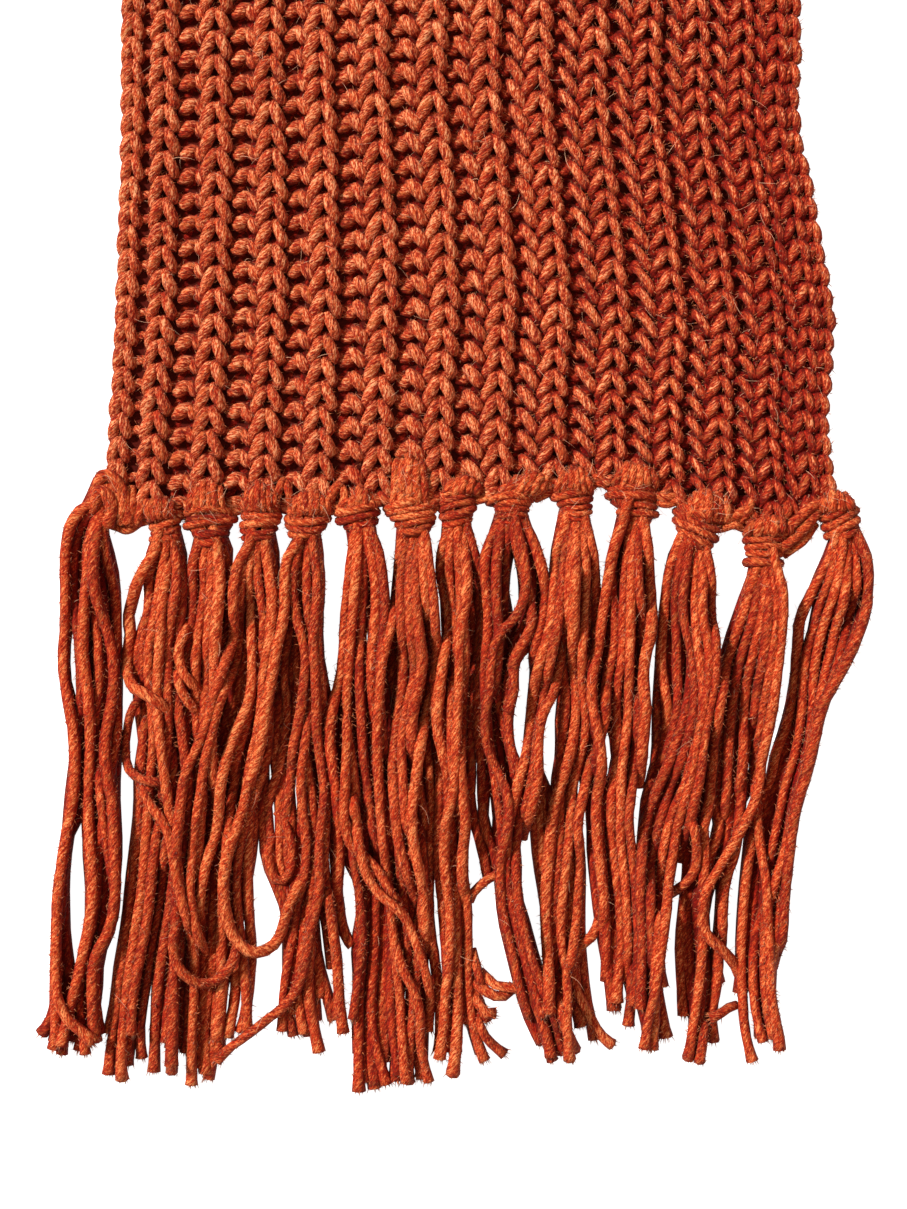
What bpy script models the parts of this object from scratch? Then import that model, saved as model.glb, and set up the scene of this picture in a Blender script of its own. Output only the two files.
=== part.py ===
"""Chunky rib-knit scarf with a knotted fringe at each end, laid out flat.

Metres, +Z up. X runs across the scarf, Y along it, and the underside lies on
z = 0. The origin is under the middle of the whole scarf. The knit is one
ribbed panel with a flat underside. Every tassel is a bundle of cut yarn drawn
through the end of the knit: a knot against the hem, then a loose tail.
All sizes below are in millimetres.
"""
import math

import bpy

MM = 0.001

# ---------------------------------------------------------------- main sizes
TOTAL_LENGTH = 1680.0        # fringe tip to fringe tip
FRINGE_REACH_NEAR = 194.4    # near hem line to the longest near tip
FRINGE_REACH_FAR = 190.0     # far hem line to the longest far tip
NEAR_HEM_Y = -TOTAL_LENGTH / 2 + FRINGE_REACH_NEAR
FAR_HEM_Y = TOTAL_LENGTH / 2 - FRINGE_REACH_FAR
KNIT_LENGTH = FAR_HEM_Y - NEAR_HEM_Y
SEAM_GAP = 0.3               # between pieces that meet

RIB_HEIGHT = 9.5             # crest of a rib above the underside
GROOVE_HEIGHT = 5.2          # bottom of the groove between two ribs
EDGE_HEIGHT = 4.0            # side wall of the panel

KNOT_LENGTH = 14.0           # of a knot, along the scarf
KNOT_HEIGHT = 12.0
NECK_HEIGHT = 9.0            # tail just below its knot
TAIL_HEIGHT = 7.0            # tail half way down
TIP_HEIGHT = 4.5             # tail at its cut ends

# Crests of the ribs across the panel, as shares of its width from the left.
# The outer two are the edge stitches, lower than a full rib.
RIBS = (
    # share, height share
    (0.019, 0.62),
    (0.067, 0.92),
    (0.141, 1.00),
    (0.220, 1.00),
    (0.294, 1.00),
    (0.373, 1.00),
    (0.457, 1.00),
    (0.535, 1.00),
    (0.609, 1.00),
    (0.689, 1.00),
    (0.766, 1.00),
    (0.836, 1.00),
    (0.904, 0.96),
    (0.964, 0.86),
    (0.990, 0.62),
)

# Side edges of the panel. The panel spreads towards the near fringe, and has
# a slight natural wander along its length.
OUTLINE = (
    # above near hem line, left edge x, right edge x
    (0.0, -109.6, 121.4),
    (25.0, -108.0, 119.5),
    (61.0, -106.1, 119.2),
    (88.0, -105.2, 114.8),
    (120.0, -104.4, 111.0),
    (151.0, -104.4, 110.1),
    (260.0, -105.5, 108.5),
    (430.0, -107.5, 106.5),
    (640.0, -106.0, 108.0),
    (850.0, -107.8, 106.4),
    (1060.0, -106.4, 107.6),
    (1220.0, -107.4, 106.8),
    (KNIT_LENGTH, -108.6, 108.2),
)

# Near fringe. "drop" is measured from the hem line towards the tips, x from
# the scarf's middle, w is a width. The tail passes x, w at three levels.
UPPER_DROP, MID_DROP, LOW_DROP = 40.0, 80.0, 132.0
NEAR_TASSELS = (
    # knot x, drop, w,   upper x, w,     mid x, w,      low x, w,      tip x, w, drop
    (-108.5, 6.6, 14.5, -113.6, 18.3, -112.5, 16.0, -115.3, 19.8, -121.4, 18.8, 182.7),
    (-90.2, 13.2, 13.0, -93.6, 17.3, -92.8, 19.0, -97.0, 13.0, -103.8, 15.0, 190.6),
    (-76.7, 11.7, 15.4, -78.6, 12.0, -77.6, 10.0, -85.0, 11.0, -90.2, 10.0, 187.7),
    (-60.0, 12.3, 14.5, -62.7, 16.7, -68.0, 19.0, -73.9, 11.3, -79.5, 10.0, 194.4),
    (-45.5, 12.3, 14.5, -47.9, 13.5, -48.8, 18.6, -59.5, 16.7, -67.6, 12.6, 179.5),
    (-29.8, 10.0, 15.4, -27.2, 13.9, -30.2, 18.0, -42.4, 17.0, -45.0, 18.0, 179.5),
    (-13.7, 11.3, 15.4, -12.4, 14.5, -12.4, 16.6, -24.3, 18.4, -25.5, 15.0, 194.0),
    (1.4, 7.9, 13.0, 3.5, 14.8, 2.7, 12.6, -4.6, 20.0, -4.0, 20.0, 190.6),
    (19.4, 6.6, 17.0, 20.8, 17.0, 14.8, 10.5, 17.0, 13.0, 24.0, 14.0, 182.7),
    (38.0, 5.7, 14.0, 38.1, 16.0, 31.0, 17.0, 33.6, 15.0, 40.4, 15.8, 183.3),
    (56.9, 5.7, 15.8, 55.0, 17.0, 51.2, 20.5, 49.5, 14.0, 54.0, 9.0, 178.0),
    (76.4, 13.5, 15.8, 73.7, 16.7, 72.5, 18.0, 63.5, 12.4, 64.8, 10.7, 181.0),
    (98.8, 21.0, 15.0, 95.9, 13.9, 90.2, 17.6, 79.2, 16.8, 77.2, 11.6, 184.3),
    (121.0, 12.6, 14.5, 120.7, 20.2, 108.5, 12.0, 97.5, 15.0, 96.4, 11.7, 184.6),
)

# Far fringe: the same count of tassels in an even row, hanging straight.
FAR_TASSELS = 14
FAR_FIRST_X = -100.6
FAR_LAST_X = 100.2
FAR_KNOT_DROP = 7.6
FAR_KNOT_WIDTH = 13.0
FAR_TAIL_WIDTH = 14.4
FAR_TIP_DROP = 184.0
FAR_TIP_UNEVEN = 6.0         # the cut ends differ by up to this

# Levels where neighbouring tails share one dividing line.
DIVIDE_LEVELS = (-4.0, 8.0, 18.0, 28.0, 40.0, 60.0, 80.0, 106.0, 132.0, 160.0, 200.0)

# A tail's cross-section: shares of its width and of its height.
TAIL_RING = (
    # across, up
    (-0.50, 0.00),
    (0.50, 0.00),
    (0.50, 0.34),
    (0.37, 0.80),
    (0.13, 1.00),
    (-0.13, 1.00),
    (-0.37, 0.80),
    (-0.50, 0.34),
)

WOOL_COLOUR = (0.50, 0.085, 0.022, 1.0)
WOOL_ROUGHNESS = 0.95


# ------------------------------------------------------------------- helpers
def clear_scene():
    for obj in list(bpy.data.objects):
        bpy.data.objects.remove(obj, do_unlink=True)


def broken_line(keys, t):
    """Value at t of straight runs through (t, value) keys."""
    if t <= keys[0][0]:
        return keys[0][1]
    for (t0, v0), (t1, v1) in zip(keys, keys[1:]):
        if t <= t1:
            return v0 + (v1 - v0) * (t - t0) / (t1 - t0)
    return keys[-1][1]


def smooth_line(keys, t):
    """Value at t of a smooth curve through (t, value) keys."""
    if t <= keys[0][0]:
        return keys[0][1]
    if t >= keys[-1][0]:
        return keys[-1][1]
    last = len(keys) - 1

    def slope(i):
        a, b = keys[max(i - 1, 0)], keys[min(i + 1, last)]
        return (b[1] - a[1]) / (b[0] - a[0])

    for i in range(last):
        (t0, v0), (t1, v1) = keys[i], keys[i + 1]
        if t <= t1:
            h = t1 - t0
            s = (t - t0) / h
            return (
                (2 * s**3 - 3 * s**2 + 1) * v0
                + (s**3 - 2 * s**2 + s) * h * slope(i)
                + (3 * s**2 - 2 * s**3) * v1
                + (s**3 - s**2) * h * slope(i + 1)
            )
    return keys[-1][1]


def wool(name):
    material = bpy.data.materials.new("wool_" + name)
    material.use_nodes = True
    shader = material.node_tree.nodes["Principled BSDF"]
    shader.inputs["Base Color"].default_value = WOOL_COLOUR
    shader.inputs["Roughness"].default_value = WOOL_ROUGHNESS
    shader.inputs["Metallic"].default_value = 0.0
    return material


def add_object(name, verts, faces, location, collection, parent):
    """Mesh object at a place; verts are given in the scarf's frame, in mm."""
    mesh = bpy.data.meshes.new(name)
    mesh.from_pydata(
        [tuple((c - o) * MM for c, o in zip(v, location)) for v in verts], [], faces
    )
    mesh.materials.append(wool(name))
    mesh.shade_smooth()
    mesh.set_sharp_from_angle(angle=math.radians(50))
    obj = bpy.data.objects.new(name, mesh)
    obj.location = [c * MM for c in location]
    obj.parent = parent
    collection.objects.link(obj)
    return obj


def loft(rings):
    """Closed solid through equal closed rings, with a flat cap at each end."""
    count = len(rings[0])
    verts = [v for ring in rings for v in ring]
    faces = []
    for r in range(len(rings) - 1):
        for i in range(count):
            j = (i + 1) % count
            a, b = r * count, (r + 1) * count
            faces.append((a + i, b + i, b + j, a + j))
    faces.append(tuple(range(count)))
    faces.append(tuple(reversed([(len(rings) - 1) * count + i for i in range(count)])))
    return verts, faces


# ----------------------------------------------------------- near tail lanes
def knot_top(row):
    return row[1] - KNOT_LENGTH / 2


def tail_keys(row):
    """Keys of a near tassel's middle line and of its width, by drop."""
    kx, kd, kw, ux, uw, mx, mw, lx, lw, tx, tw, td = row
    neck = kd + KNOT_LENGTH * 0.62
    middle = (
        (knot_top(row), kx), (kd, kx), (neck, kx + 0.15 * (ux - kx)),
        (UPPER_DROP, ux), (MID_DROP, mx), (LOW_DROP, lx), (td, tx),
    )
    width = (
        (knot_top(row), 0.82 * kw), (kd, kw), (neck, 0.74 * kw),
        (UPPER_DROP, uw), (MID_DROP, mw), (LOW_DROP, lw), (td, tw),
    )
    return middle, width


def free_sides(row, drop):
    middle, width = tail_keys(row)
    x, w = smooth_line(middle, drop), smooth_line(width, drop)
    return x - w / 2, x + w / 2


def dividing_lines(table):
    """For each pair of neighbours, the line that both keep clear of."""
    lines = []
    for left_row, right_row in zip(table, table[1:]):
        lines.append([
            (level, (free_sides(left_row, level)[1] + free_sides(right_row, level)[0]) / 2)
            for level in DIVIDE_LEVELS
        ])
    return lines


def hem_keys(table):
    """The near hem: how far the knit reaches at each knot."""
    return [(row[0], knot_top(row)) for row in table]


# ------------------------------------------------------------ the knit panel
def rib_profile():
    """(share of the width, height) of the panel's top, from left to right."""
    depth = RIB_HEIGHT - GROOVE_HEIGHT
    points = [(0.0, EDGE_HEIGHT)]
    for i, (share, tall) in enumerate(RIBS):
        points.append((share, RIB_HEIGHT * tall))
        if i + 1 < len(RIBS):
            next_share, next_tall = RIBS[i + 1]
            span = next_share - share
            flank = GROOVE_HEIGHT + 0.62 * depth
            if span > 0.035:
                points.append((share + 0.26 * span, flank * tall))
                points.append((share + 0.50 * span, GROOVE_HEIGHT * min(tall, next_tall)))
                points.append((share + 0.74 * span, flank * next_tall))
            else:
                points.append((share + 0.50 * span, GROOVE_HEIGHT * min(tall, next_tall)))
    points.append((1.0, EDGE_HEIGHT))
    return points


def hem_pull(above):
    """How much of the hem's wave is still in a row this far above it."""
    return max(0.0, 1.0 - above / 88.0) ** 1.5


def knit_panel(collection, parent):
    profile = rib_profile()
    hem = hem_keys(NEAR_TASSELS)
    rings = []
    for above, left, right in OUTLINE:
        top = []
        for share, height in profile:
            x = left + share * (right - left)
            wave = broken_line(hem, x) * hem_pull(above)
            top.append((x, NEAR_HEM_Y + above - wave, height))
        rings.append(top + [(x, y, 0.0) for x, y, z in reversed(top)])
    verts, faces = loft(rings)
    # Each end is a strip of upright quads, because the hem isn't straight.
    half = len(profile)
    faces = faces[:-2]
    for ring in (0, len(rings) - 1):
        a = ring * 2 * half
        for i in range(half - 1):
            quad = (a + i, a + i + 1, a + 2 * half - 2 - i, a + 2 * half - 1 - i)
            faces.append(quad if ring == 0 else tuple(reversed(quad)))
    faces = [tuple(reversed(face)) for face in faces]
    middle = (0.0, (NEAR_HEM_Y + FAR_HEM_Y) / 2, 0.0)
    return add_object("knit_body", verts, faces, middle, collection, parent), rings[0][:half]


# ------------------------------------------------------------------- tassels
def section(x0, x1, y, height):
    middle, width = (x0 + x1) / 2, x1 - x0
    return [(middle + across * width, y, up * height) for across, up in TAIL_RING]


def bundle_height(drop, knot_drop, tip_drop):
    keys = (
        (knot_drop - KNOT_LENGTH / 2, KNOT_HEIGHT * 0.84),
        (knot_drop, KNOT_HEIGHT),
        (knot_drop + KNOT_LENGTH * 0.62, NECK_HEIGHT),
        (MID_DROP, TAIL_HEIGHT),
        (tip_drop, TIP_HEIGHT),
    )
    return broken_line(keys, drop)


def near_tassels(collection, parent, hem_edge):
    """hem_edge holds the knit's own end points, from left to right."""
    lines = dividing_lines(NEAR_TASSELS)
    edge = [(x, NEAR_HEM_Y - y) for x, y, z in hem_edge]
    for i, row in enumerate(NEAR_TASSELS):
        knot_x, knot_drop, tip_drop = row[0], row[1], row[11]

        def lane(drop):
            x0, x1 = free_sides(row, drop)
            if i > 0:
                x0 = max(x0, broken_line(lines[i - 1], drop) + SEAM_GAP / 2)
            if i < len(lines):
                x1 = min(x1, broken_line(lines[i], drop) - SEAM_GAP / 2)
            return x0, x1

        # The knot starts clear of the lowest part of the hem above it.
        x0, x1 = free_sides(row, knot_drop)
        reach = [d for x, d in edge if x0 <= x <= x1] + [broken_line(edge, x0), broken_line(edge, x1)]
        start = max(reach) + SEAM_GAP
        stops = sorted(
            {start, tip_drop, knot_drop + KNOT_LENGTH * 0.25, knot_drop + KNOT_LENGTH * 0.62}
            | {level for level in DIVIDE_LEVELS if start + 1.0 < level < tip_drop - 1.0}
        )
        rings = [
            section(*lane(drop), NEAR_HEM_Y - drop, bundle_height(drop, knot_drop, tip_drop))
            for drop in stops
        ]
        verts, faces = loft(rings)
        add_object(
            f"tassel_near_{i + 1:02d}", verts, [tuple(reversed(f)) for f in faces],
            (knot_x, NEAR_HEM_Y - knot_drop, 0.0), collection, parent,
        )


def far_tassels(collection, parent):
    for i in range(FAR_TASSELS):
        x = FAR_FIRST_X + (FAR_LAST_X - FAR_FIRST_X) * i / (FAR_TASSELS - 1)
        tip = FAR_TIP_DROP + FAR_TIP_UNEVEN * math.cos(2.3 * i)
        if i == 0:
            tip = FRINGE_REACH_FAR
        keys = (
            (SEAM_GAP, 0.84 * FAR_KNOT_WIDTH), (FAR_KNOT_DROP, FAR_KNOT_WIDTH),
            (FAR_KNOT_DROP + KNOT_LENGTH * 0.62, 0.72 * FAR_KNOT_WIDTH),
            (40.0, 0.92 * FAR_TAIL_WIDTH), (90.0, FAR_TAIL_WIDTH), (140.0, FAR_TAIL_WIDTH),
            (tip, 0.90 * FAR_TAIL_WIDTH),
        )
        rings = [
            section(x - w / 2, x + w / 2, FAR_HEM_Y + drop, bundle_height(drop, FAR_KNOT_DROP, tip))
            for drop, w in keys
        ]
        verts, faces = loft(rings)
        add_object(
            f"tassel_far_{i + 1:02d}", verts, faces,
            (x, FAR_HEM_Y + FAR_KNOT_DROP, 0.0), collection, parent,
        )


def main():
    clear_scene()
    collection = bpy.data.collections.new("knit_scarf")
    bpy.context.scene.collection.children.link(collection)
    root = bpy.data.objects.new("scarf_middle", None)
    collection.objects.link(root)
    body, hem_edge = knit_panel(collection, root)
    near_tassels(collection, root, hem_edge)
    far_tassels(collection, root)


main()
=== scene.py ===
"""Looks of the chunky rib-knit scarf, laid flat on a pale floor.

Everything is yarn. The knit is made course by course as one continuous strand
that runs through every knit and purl stitch of the rib, the fringe strand by
strand, each one laid on those below it, and each knot as turns of yarn round
its bundle. A thin dark shell lies inside the knit for the wool deep in the
cloth; its near-black red is painted shade in the gaps between the stitches.

Lengths are millimetres until the meshes are made. Places across and down the
near end are read in units of U = 0.315 mm, from an origin up and to the left
of the scarf, because the stitches and tassels were laid out on that grid.
"""
import math
import random

import bpy
import numpy as np
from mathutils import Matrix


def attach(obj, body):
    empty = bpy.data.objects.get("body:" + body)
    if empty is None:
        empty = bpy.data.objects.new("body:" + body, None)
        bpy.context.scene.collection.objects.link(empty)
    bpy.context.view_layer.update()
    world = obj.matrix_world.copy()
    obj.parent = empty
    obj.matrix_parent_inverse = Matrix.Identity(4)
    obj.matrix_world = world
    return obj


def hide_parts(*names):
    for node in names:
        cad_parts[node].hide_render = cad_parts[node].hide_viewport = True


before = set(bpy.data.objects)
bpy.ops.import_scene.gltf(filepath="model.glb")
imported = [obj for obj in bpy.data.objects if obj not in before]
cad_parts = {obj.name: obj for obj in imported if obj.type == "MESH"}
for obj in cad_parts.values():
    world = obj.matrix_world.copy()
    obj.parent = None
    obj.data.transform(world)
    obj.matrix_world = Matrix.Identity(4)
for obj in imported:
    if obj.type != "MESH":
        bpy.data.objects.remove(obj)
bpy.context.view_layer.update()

MM = 0.001
U = 0.315
TAU = 2 * math.pi

# ------------------------------------------------------------- sizes, as built
NEAR_HEM_Y = -645.6
FAR_HEM_Y = 650.0
KNIT_LENGTH = FAR_HEM_Y - NEAR_HEM_Y
PITCH = 7.38                  # of a course, along the scarf
FIRST_COURSE = 12.7           # base of the last course above the near hem line
COURSES = 174
FINE_COURSES = 22             # nearest the near hem, made with the finest mesh
Z_MID = 4.8                   # middle layer of the knit
YARN = 1.82                   # radius of the yarn in the knit
FRINGE_YARN = 1.72            # and in the fringe, where nothing plumps it up
LAY = 15.0                    # one turn of the yarn's twist

OUTLINE = (
    # above near hem line, left edge x, right edge x
    (0.0, -110.2, 121.6), (25.0, -108.4, 119.0), (45.0, -107.4, 119.9), (61.0, -106.3, 121.4),
    (88.0, -105.6, 117.0), (104.0, -104.9, 114.6), (120.0, -104.6, 110.9), (135.0, -104.6, 109.4),
    (151.0, -104.4, 110.3),
    (260.0, -105.5, 108.5), (430.0, -107.5, 106.5), (640.0, -106.0, 108.0),
    (850.0, -107.8, 106.4), (1060.0, -106.4, 107.6), (1220.0, -107.4, 106.8),
    (KNIT_LENGTH, -108.6, 108.2),
)

# Knit wales: share of the width, how much lower (+) or higher (-) the stitches
# sit than in the third wale, width of the loop, and its sheet's height.
KNIT_WALES = (
    # share, phase, width, sheet
    (0.0170, -4.0, 0.62, 0.10),
    (0.0650, -5.0, 0.92, 0.85),
    (0.1400, -8.0, 1.00, 1.00),
    (0.2190, -7.0, 1.00, 1.00),
    (0.2930, -9.0, 1.00, 1.00),
    (0.3730, -15.0, 1.00, 1.00),
    (0.4575, -17.0, 1.00, 1.00),
    (0.5370, -20.0, 0.98, 1.00),
    (0.6130, -27.0, 0.96, 1.00),
    (0.6940, -32.0, 1.00, 1.00),
    (0.7730, -28.5, 0.98, 1.00),
    (0.8430, -32.5, 0.94, 1.00),
    (0.9090, -31.0, 0.90, 0.95),
    (0.9600, -15.0, 0.78, 0.75),
    (0.9850, -13.0, 0.60, 0.10),
)
# The right side is pushed together towards the hem, and the yarn ends at the
# hem's own wavy edge.
SLIDE = ((500, 0), (546, 13), (603, 23), (659, 33), (709, 37), (758, 35), (800, 33))
EDGE = ((95, 478), (108, 490), (130, 522), (165, 520), (184, 522), (210, 520), (240, 516), (262, 514),
        (284, 514), (308, 514), (335, 518), (358, 512), (382, 507), (410, 512), (437, 512), (457, 505),
        (478, 500), (512, 500), (545, 494), (575, 492), (600, 486), (633, 492), (660, 504), (697, 512),
        (730, 526), (764, 530), (790, 528), (812, 515), (838, 497))
# The last rows, which only reach in from the right edge: row, first share.
SHORT_ROWS = ((-5, 0.84), (-4, 0.52))

# One loop. "along" is in courses, from where its legs come up towards the
# fringe; "height" is 1 at the face of its own sheet and below -1 where its head
# shows as a bump on the other face. A purl wale is the same loop turned over.
LOOP = (
    # across, along, height, thickness
    (-3.2, 0.03, -0.95, 0.84),
    (-2.5, 0.14, -0.05, 0.94),
    (-3.6, 0.31, 0.78, 1.06),
    (-6.2, 0.56, 1.00, 1.12),
    (-9.4, 0.83, 0.62, 1.08),
    (-11.6, 1.05, -0.15, 0.98),
    (-10.8, 1.25, -0.95, 0.96),
    (-8.0, 1.25, -1.55, 1.08),
    (-3.4, 1.12, -1.80, 1.18),
    (1.8, 0.99, -1.55, 1.12),
    (7.6, 1.00, -0.85, 0.94),
    (12.0, 1.02, -0.15, 0.94),
    (10.8, 0.80, 0.62, 1.04),
    (7.8, 0.54, 1.00, 1.06),
    (4.8, 0.29, 0.78, 1.02),
    (3.0, 0.13, -0.05, 0.92),
    (3.2, 0.02, -0.95, 0.84),
)
SHEET = 5.0                   # of each sheet from the middle layer, in U
SWING = 4.2                   # of a loop about its sheet, in U
LEAN_LEFT, LEAN_RIGHT = -3.0, 8.0   # of the front sheet over the back one, in U

# ------------------------------------------------------------------ the knots
# Near fringe, left to right. Each knot: its middle, the turns of yarn that show
# across it (left end x, y, right end x, y, half thickness, how far the middle
# hangs, and its level of painted light, low where it lies in painted shade) and
# the brush of strands that enter it from the knit (left, right, height at the
# top, the same at the bottom, and how many).
KNOTS = (
    ((107, 500), (), None),
    ((165, 524), ((146, 520, 181, 512, 3.8, 1, 0.66), (149, 528, 182, 521, 4.0, 1, 0.66),
                  (151, 535, 182, 529, 3.4, 2, 0.46), (149, 541, 183, 535, 4.5, 3, 0.66)),
     (149, 173, 499, 151, 173, 516, 5)),
    ((210, 522), ((184, 513, 235, 514, 4.7, -8, 0.70), (185, 519, 236, 519, 3.2, -1, 0.30),
                  (183, 526, 239, 519, 3.9, 1, 0.62), (192, 534, 231, 533, 4.8, 1, 0.26),
                  (195, 542, 229, 542, 4.5, 1, 0.26)),
     (195, 220, 485, 192, 224, 508, 6)),
    ((261, 519), ((243, 509, 281, 510, 4.7, -4, 0.68), (241, 517, 283, 517, 4.2, -1, 0.64),
                  (239, 525, 282, 521, 4.5, 1.5, 0.68), (240, 532, 279, 530, 3.2, 3, 0.36),
                  (241, 538, 276, 537, 3.4, 2, 0.40)),
     (249, 274, 484, 249, 276, 506, 6)),
    ((308, 521), ((287, 511, 332, 513, 4.7, -3, 0.68), (284, 520, 332, 520, 4.4, 4, 0.66),
                  (285, 527, 328, 526, 4.4, 6, 0.52), (287, 534, 322, 532, 3.8, 4, 0.56)),
     (297, 328, 493, 296, 329, 511, 7)),
    ((362, 516), ((332, 513, 385, 501, 5.2, 3, 0.70), (335, 521, 381, 512, 4.4, 3, 0.34),
                  (343, 527, 379, 521, 4.2, 3, 0.28), (353, 532, 376, 529, 3.2, 1, 0.34)),
     (356, 370, 490, 352, 374, 505, 4)),
    ((411, 516), ((382, 509, 437, 495, 4.7, -1, 0.68), (385, 514, 438, 504, 3.9, 1, 0.60),
                  (389, 519, 438, 511, 3.9, 2, 0.60), (394, 525, 437, 518, 3.9, 2, 0.54),
                  (396, 531, 436, 524, 4.4, 5, 0.54)),
     (397, 421, 459, 395, 425, 499, 5)),
    ((457, 505), ((437, 497, 479, 484, 4.7, -3, 0.66), (437, 504, 479, 492, 4.1, -1, 0.60),
                  (438, 510, 477, 500, 4.0, 0, 0.50), (438, 518, 478, 509, 4.4, 1, 0.70),
                  (441, 525, 473, 520, 3.6, 1, 0.26)),
     (453, 478, 479, 448, 475, 491, 5)),
    ((512, 503), ((497, 489, 542, 494, 4.4, -6, 0.70), (484, 501, 535, 498, 4.4, -4, 0.66),
                  (492, 505, 532, 504, 4.0, -3, 0.60), (494, 510, 530, 510, 3.2, -1, 0.44),
                  (494, 516, 529, 516, 3.8, 1, 0.44), (496, 522, 528, 521, 3.4, 1, 0.30)),
     (517, 546, 475, 507, 538, 491, 6)),
    ((575, 499), ((556, 489, 595, 486, 4.6, -3, 0.68), (549, 497, 594, 492, 4.6, 0, 0.70),
                  (556, 504, 593, 499, 4.0, 0, 0.50), (560, 509, 593, 507, 3.2, 1, 0.34),
                  (561, 514, 593, 513, 3.2, 0.5, 0.66), (563, 519, 590, 519, 2.8, 0.5, 0.26)),
     (563, 583, 469, 557, 589, 489, 6)),
    ((634, 497), ((612, 483, 657, 485, 4.4, -5, 0.68), (606, 490, 658, 491, 4.2, -4, 0.60),
                  (603, 496, 658, 498, 4.6, -3, 0.66), (616, 505, 658, 507, 3.6, -1, 0.54),
                  (615, 513, 659, 515, 3.8, -1, 0.66)),
     (621, 649, 466, 615, 653, 483, 6)),
    ((697, 524), ((675, 506, 725, 521, 4.8, 4, 0.70), (671, 513, 723, 531, 4.2, 3, 0.50),
                  (671, 520, 719, 539, 4.4, 2, 0.62), (675, 529, 713, 546, 4.2, 2, 0.46),
                  (679, 538, 709, 551, 3.4, 1, 0.30)),
     (690, 723, 493, 687, 725, 517, 7)),
    ((764, 546), ((741, 533, 789, 534, 4.6, -5, 0.68), (741, 541, 785, 540, 3.8, -2, 0.54),
                  (743, 547, 784, 548, 3.8, -1, 0.60), (744, 554, 783, 555, 3.8, -1, 0.60),
                  (741, 562, 784, 563, 4.8, 1, 0.60)),
     (751, 785, 520, 747, 787, 531, 6)),
    ((840, 520), ((817, 512, 848, 496, 4.0, 1, 0.60), (817, 520, 854, 503, 4.2, 1, 0.64),
                  (819, 528, 859, 511, 4.4, 1, 0.62), (822, 536, 860, 519, 4.4, 1, 0.56),
                  (828, 543, 859, 528, 3.8, 1, 0.44)),
     (822, 841, 494, 821, 846, 507, 4)),
)

# Yarn that runs round and between the knots: half thickness, height of its
# middle in mm, and its way.
CORDS = (
    (6.4, 8.4, ((98, 496), (100, 484), (105, 477), (113, 477), (121, 486), (127, 499), (130, 512), (128, 524))),
    (6.8, 9.2, ((95, 513), (99, 499), (104, 492), (110, 496), (114, 505), (113, 516), (108, 526))),
    (5.2, 8.2, ((117, 496), (124, 508), (122, 524))),
    (5.6, 7.6, ((132, 488), (134, 504), (131, 526))),
    (4.6, 8.0, ((141, 498), (142, 511), (138, 524))),
    (4.4, 4.6, ((106, 522), (116, 527), (128, 530), (140, 523), (150, 520))),
    (4.2, 8.8, ((277, 500), (281, 488), (284, 480))),
    (4.2, 9.0, ((285, 482), (290, 493), (291, 505))),
    (5.2, 8.8, ((330, 502), (334, 492), (340, 485))),
    (4.6, 8.4, ((341, 487), (345, 496), (342, 507))),
    (4.6, 7.6, ((328, 505), (336, 509), (345, 506))),
    (3.8, 9.4, ((341, 508), (348, 502), (354, 503))),
    (4.2, 7.6, ((474, 502), (484, 499), (494, 497), (502, 493))),
    (3.8, 7.0, ((474, 494), (482, 490), (491, 497))),
    (4.8, 8.2, ((529, 498), (538, 492), (546, 486), (553, 480))),
    (4.6, 7.4, ((535, 499), (546, 494), (557, 490))),
    (4.2, 7.6, ((589, 487), (598, 484), (609, 487))),
    (4.2, 7.4, ((588, 480), (597, 478), (607, 482))),
    (4.6, 7.4, ((655, 501), (664, 504), (674, 502), (683, 498))),
    (4.6, 8.0, ((653, 494), (664, 498), (677, 494))),
    (5.0, 8.2, ((719, 521), (728, 518), (738, 514), (747, 508))),
    (4.8, 7.6, ((720, 529), (731, 525), (742, 528))),
    (4.6, 8.6, ((739, 522), (746, 511), (751, 500))),
    (5.4, 9.2, ((772, 540), (784, 530), (797, 518), (810, 507), (821, 503))),
    (5.8, 8.4, ((776, 551), (789, 541), (801, 529), (811, 517), (821, 509))),
    (4.4, 6.6, ((783, 555), (795, 547), (806, 536), (815, 524))),
    (4.4, 8.0, ((782, 522), (786, 511), (784, 499))),
    (4.2, 8.8, ((833, 497), (843, 499), (849, 506), (853, 513))),
)

# How much deeper in shade each tail's wool lies.
TAIL_SHADE = (-0.28, -0.06, -0.06, 0.02, -0.04, -0.24, 0.07, -0.04, -0.22, 0.02, -0.13, -0.17, -0.14, -0.20)

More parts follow.
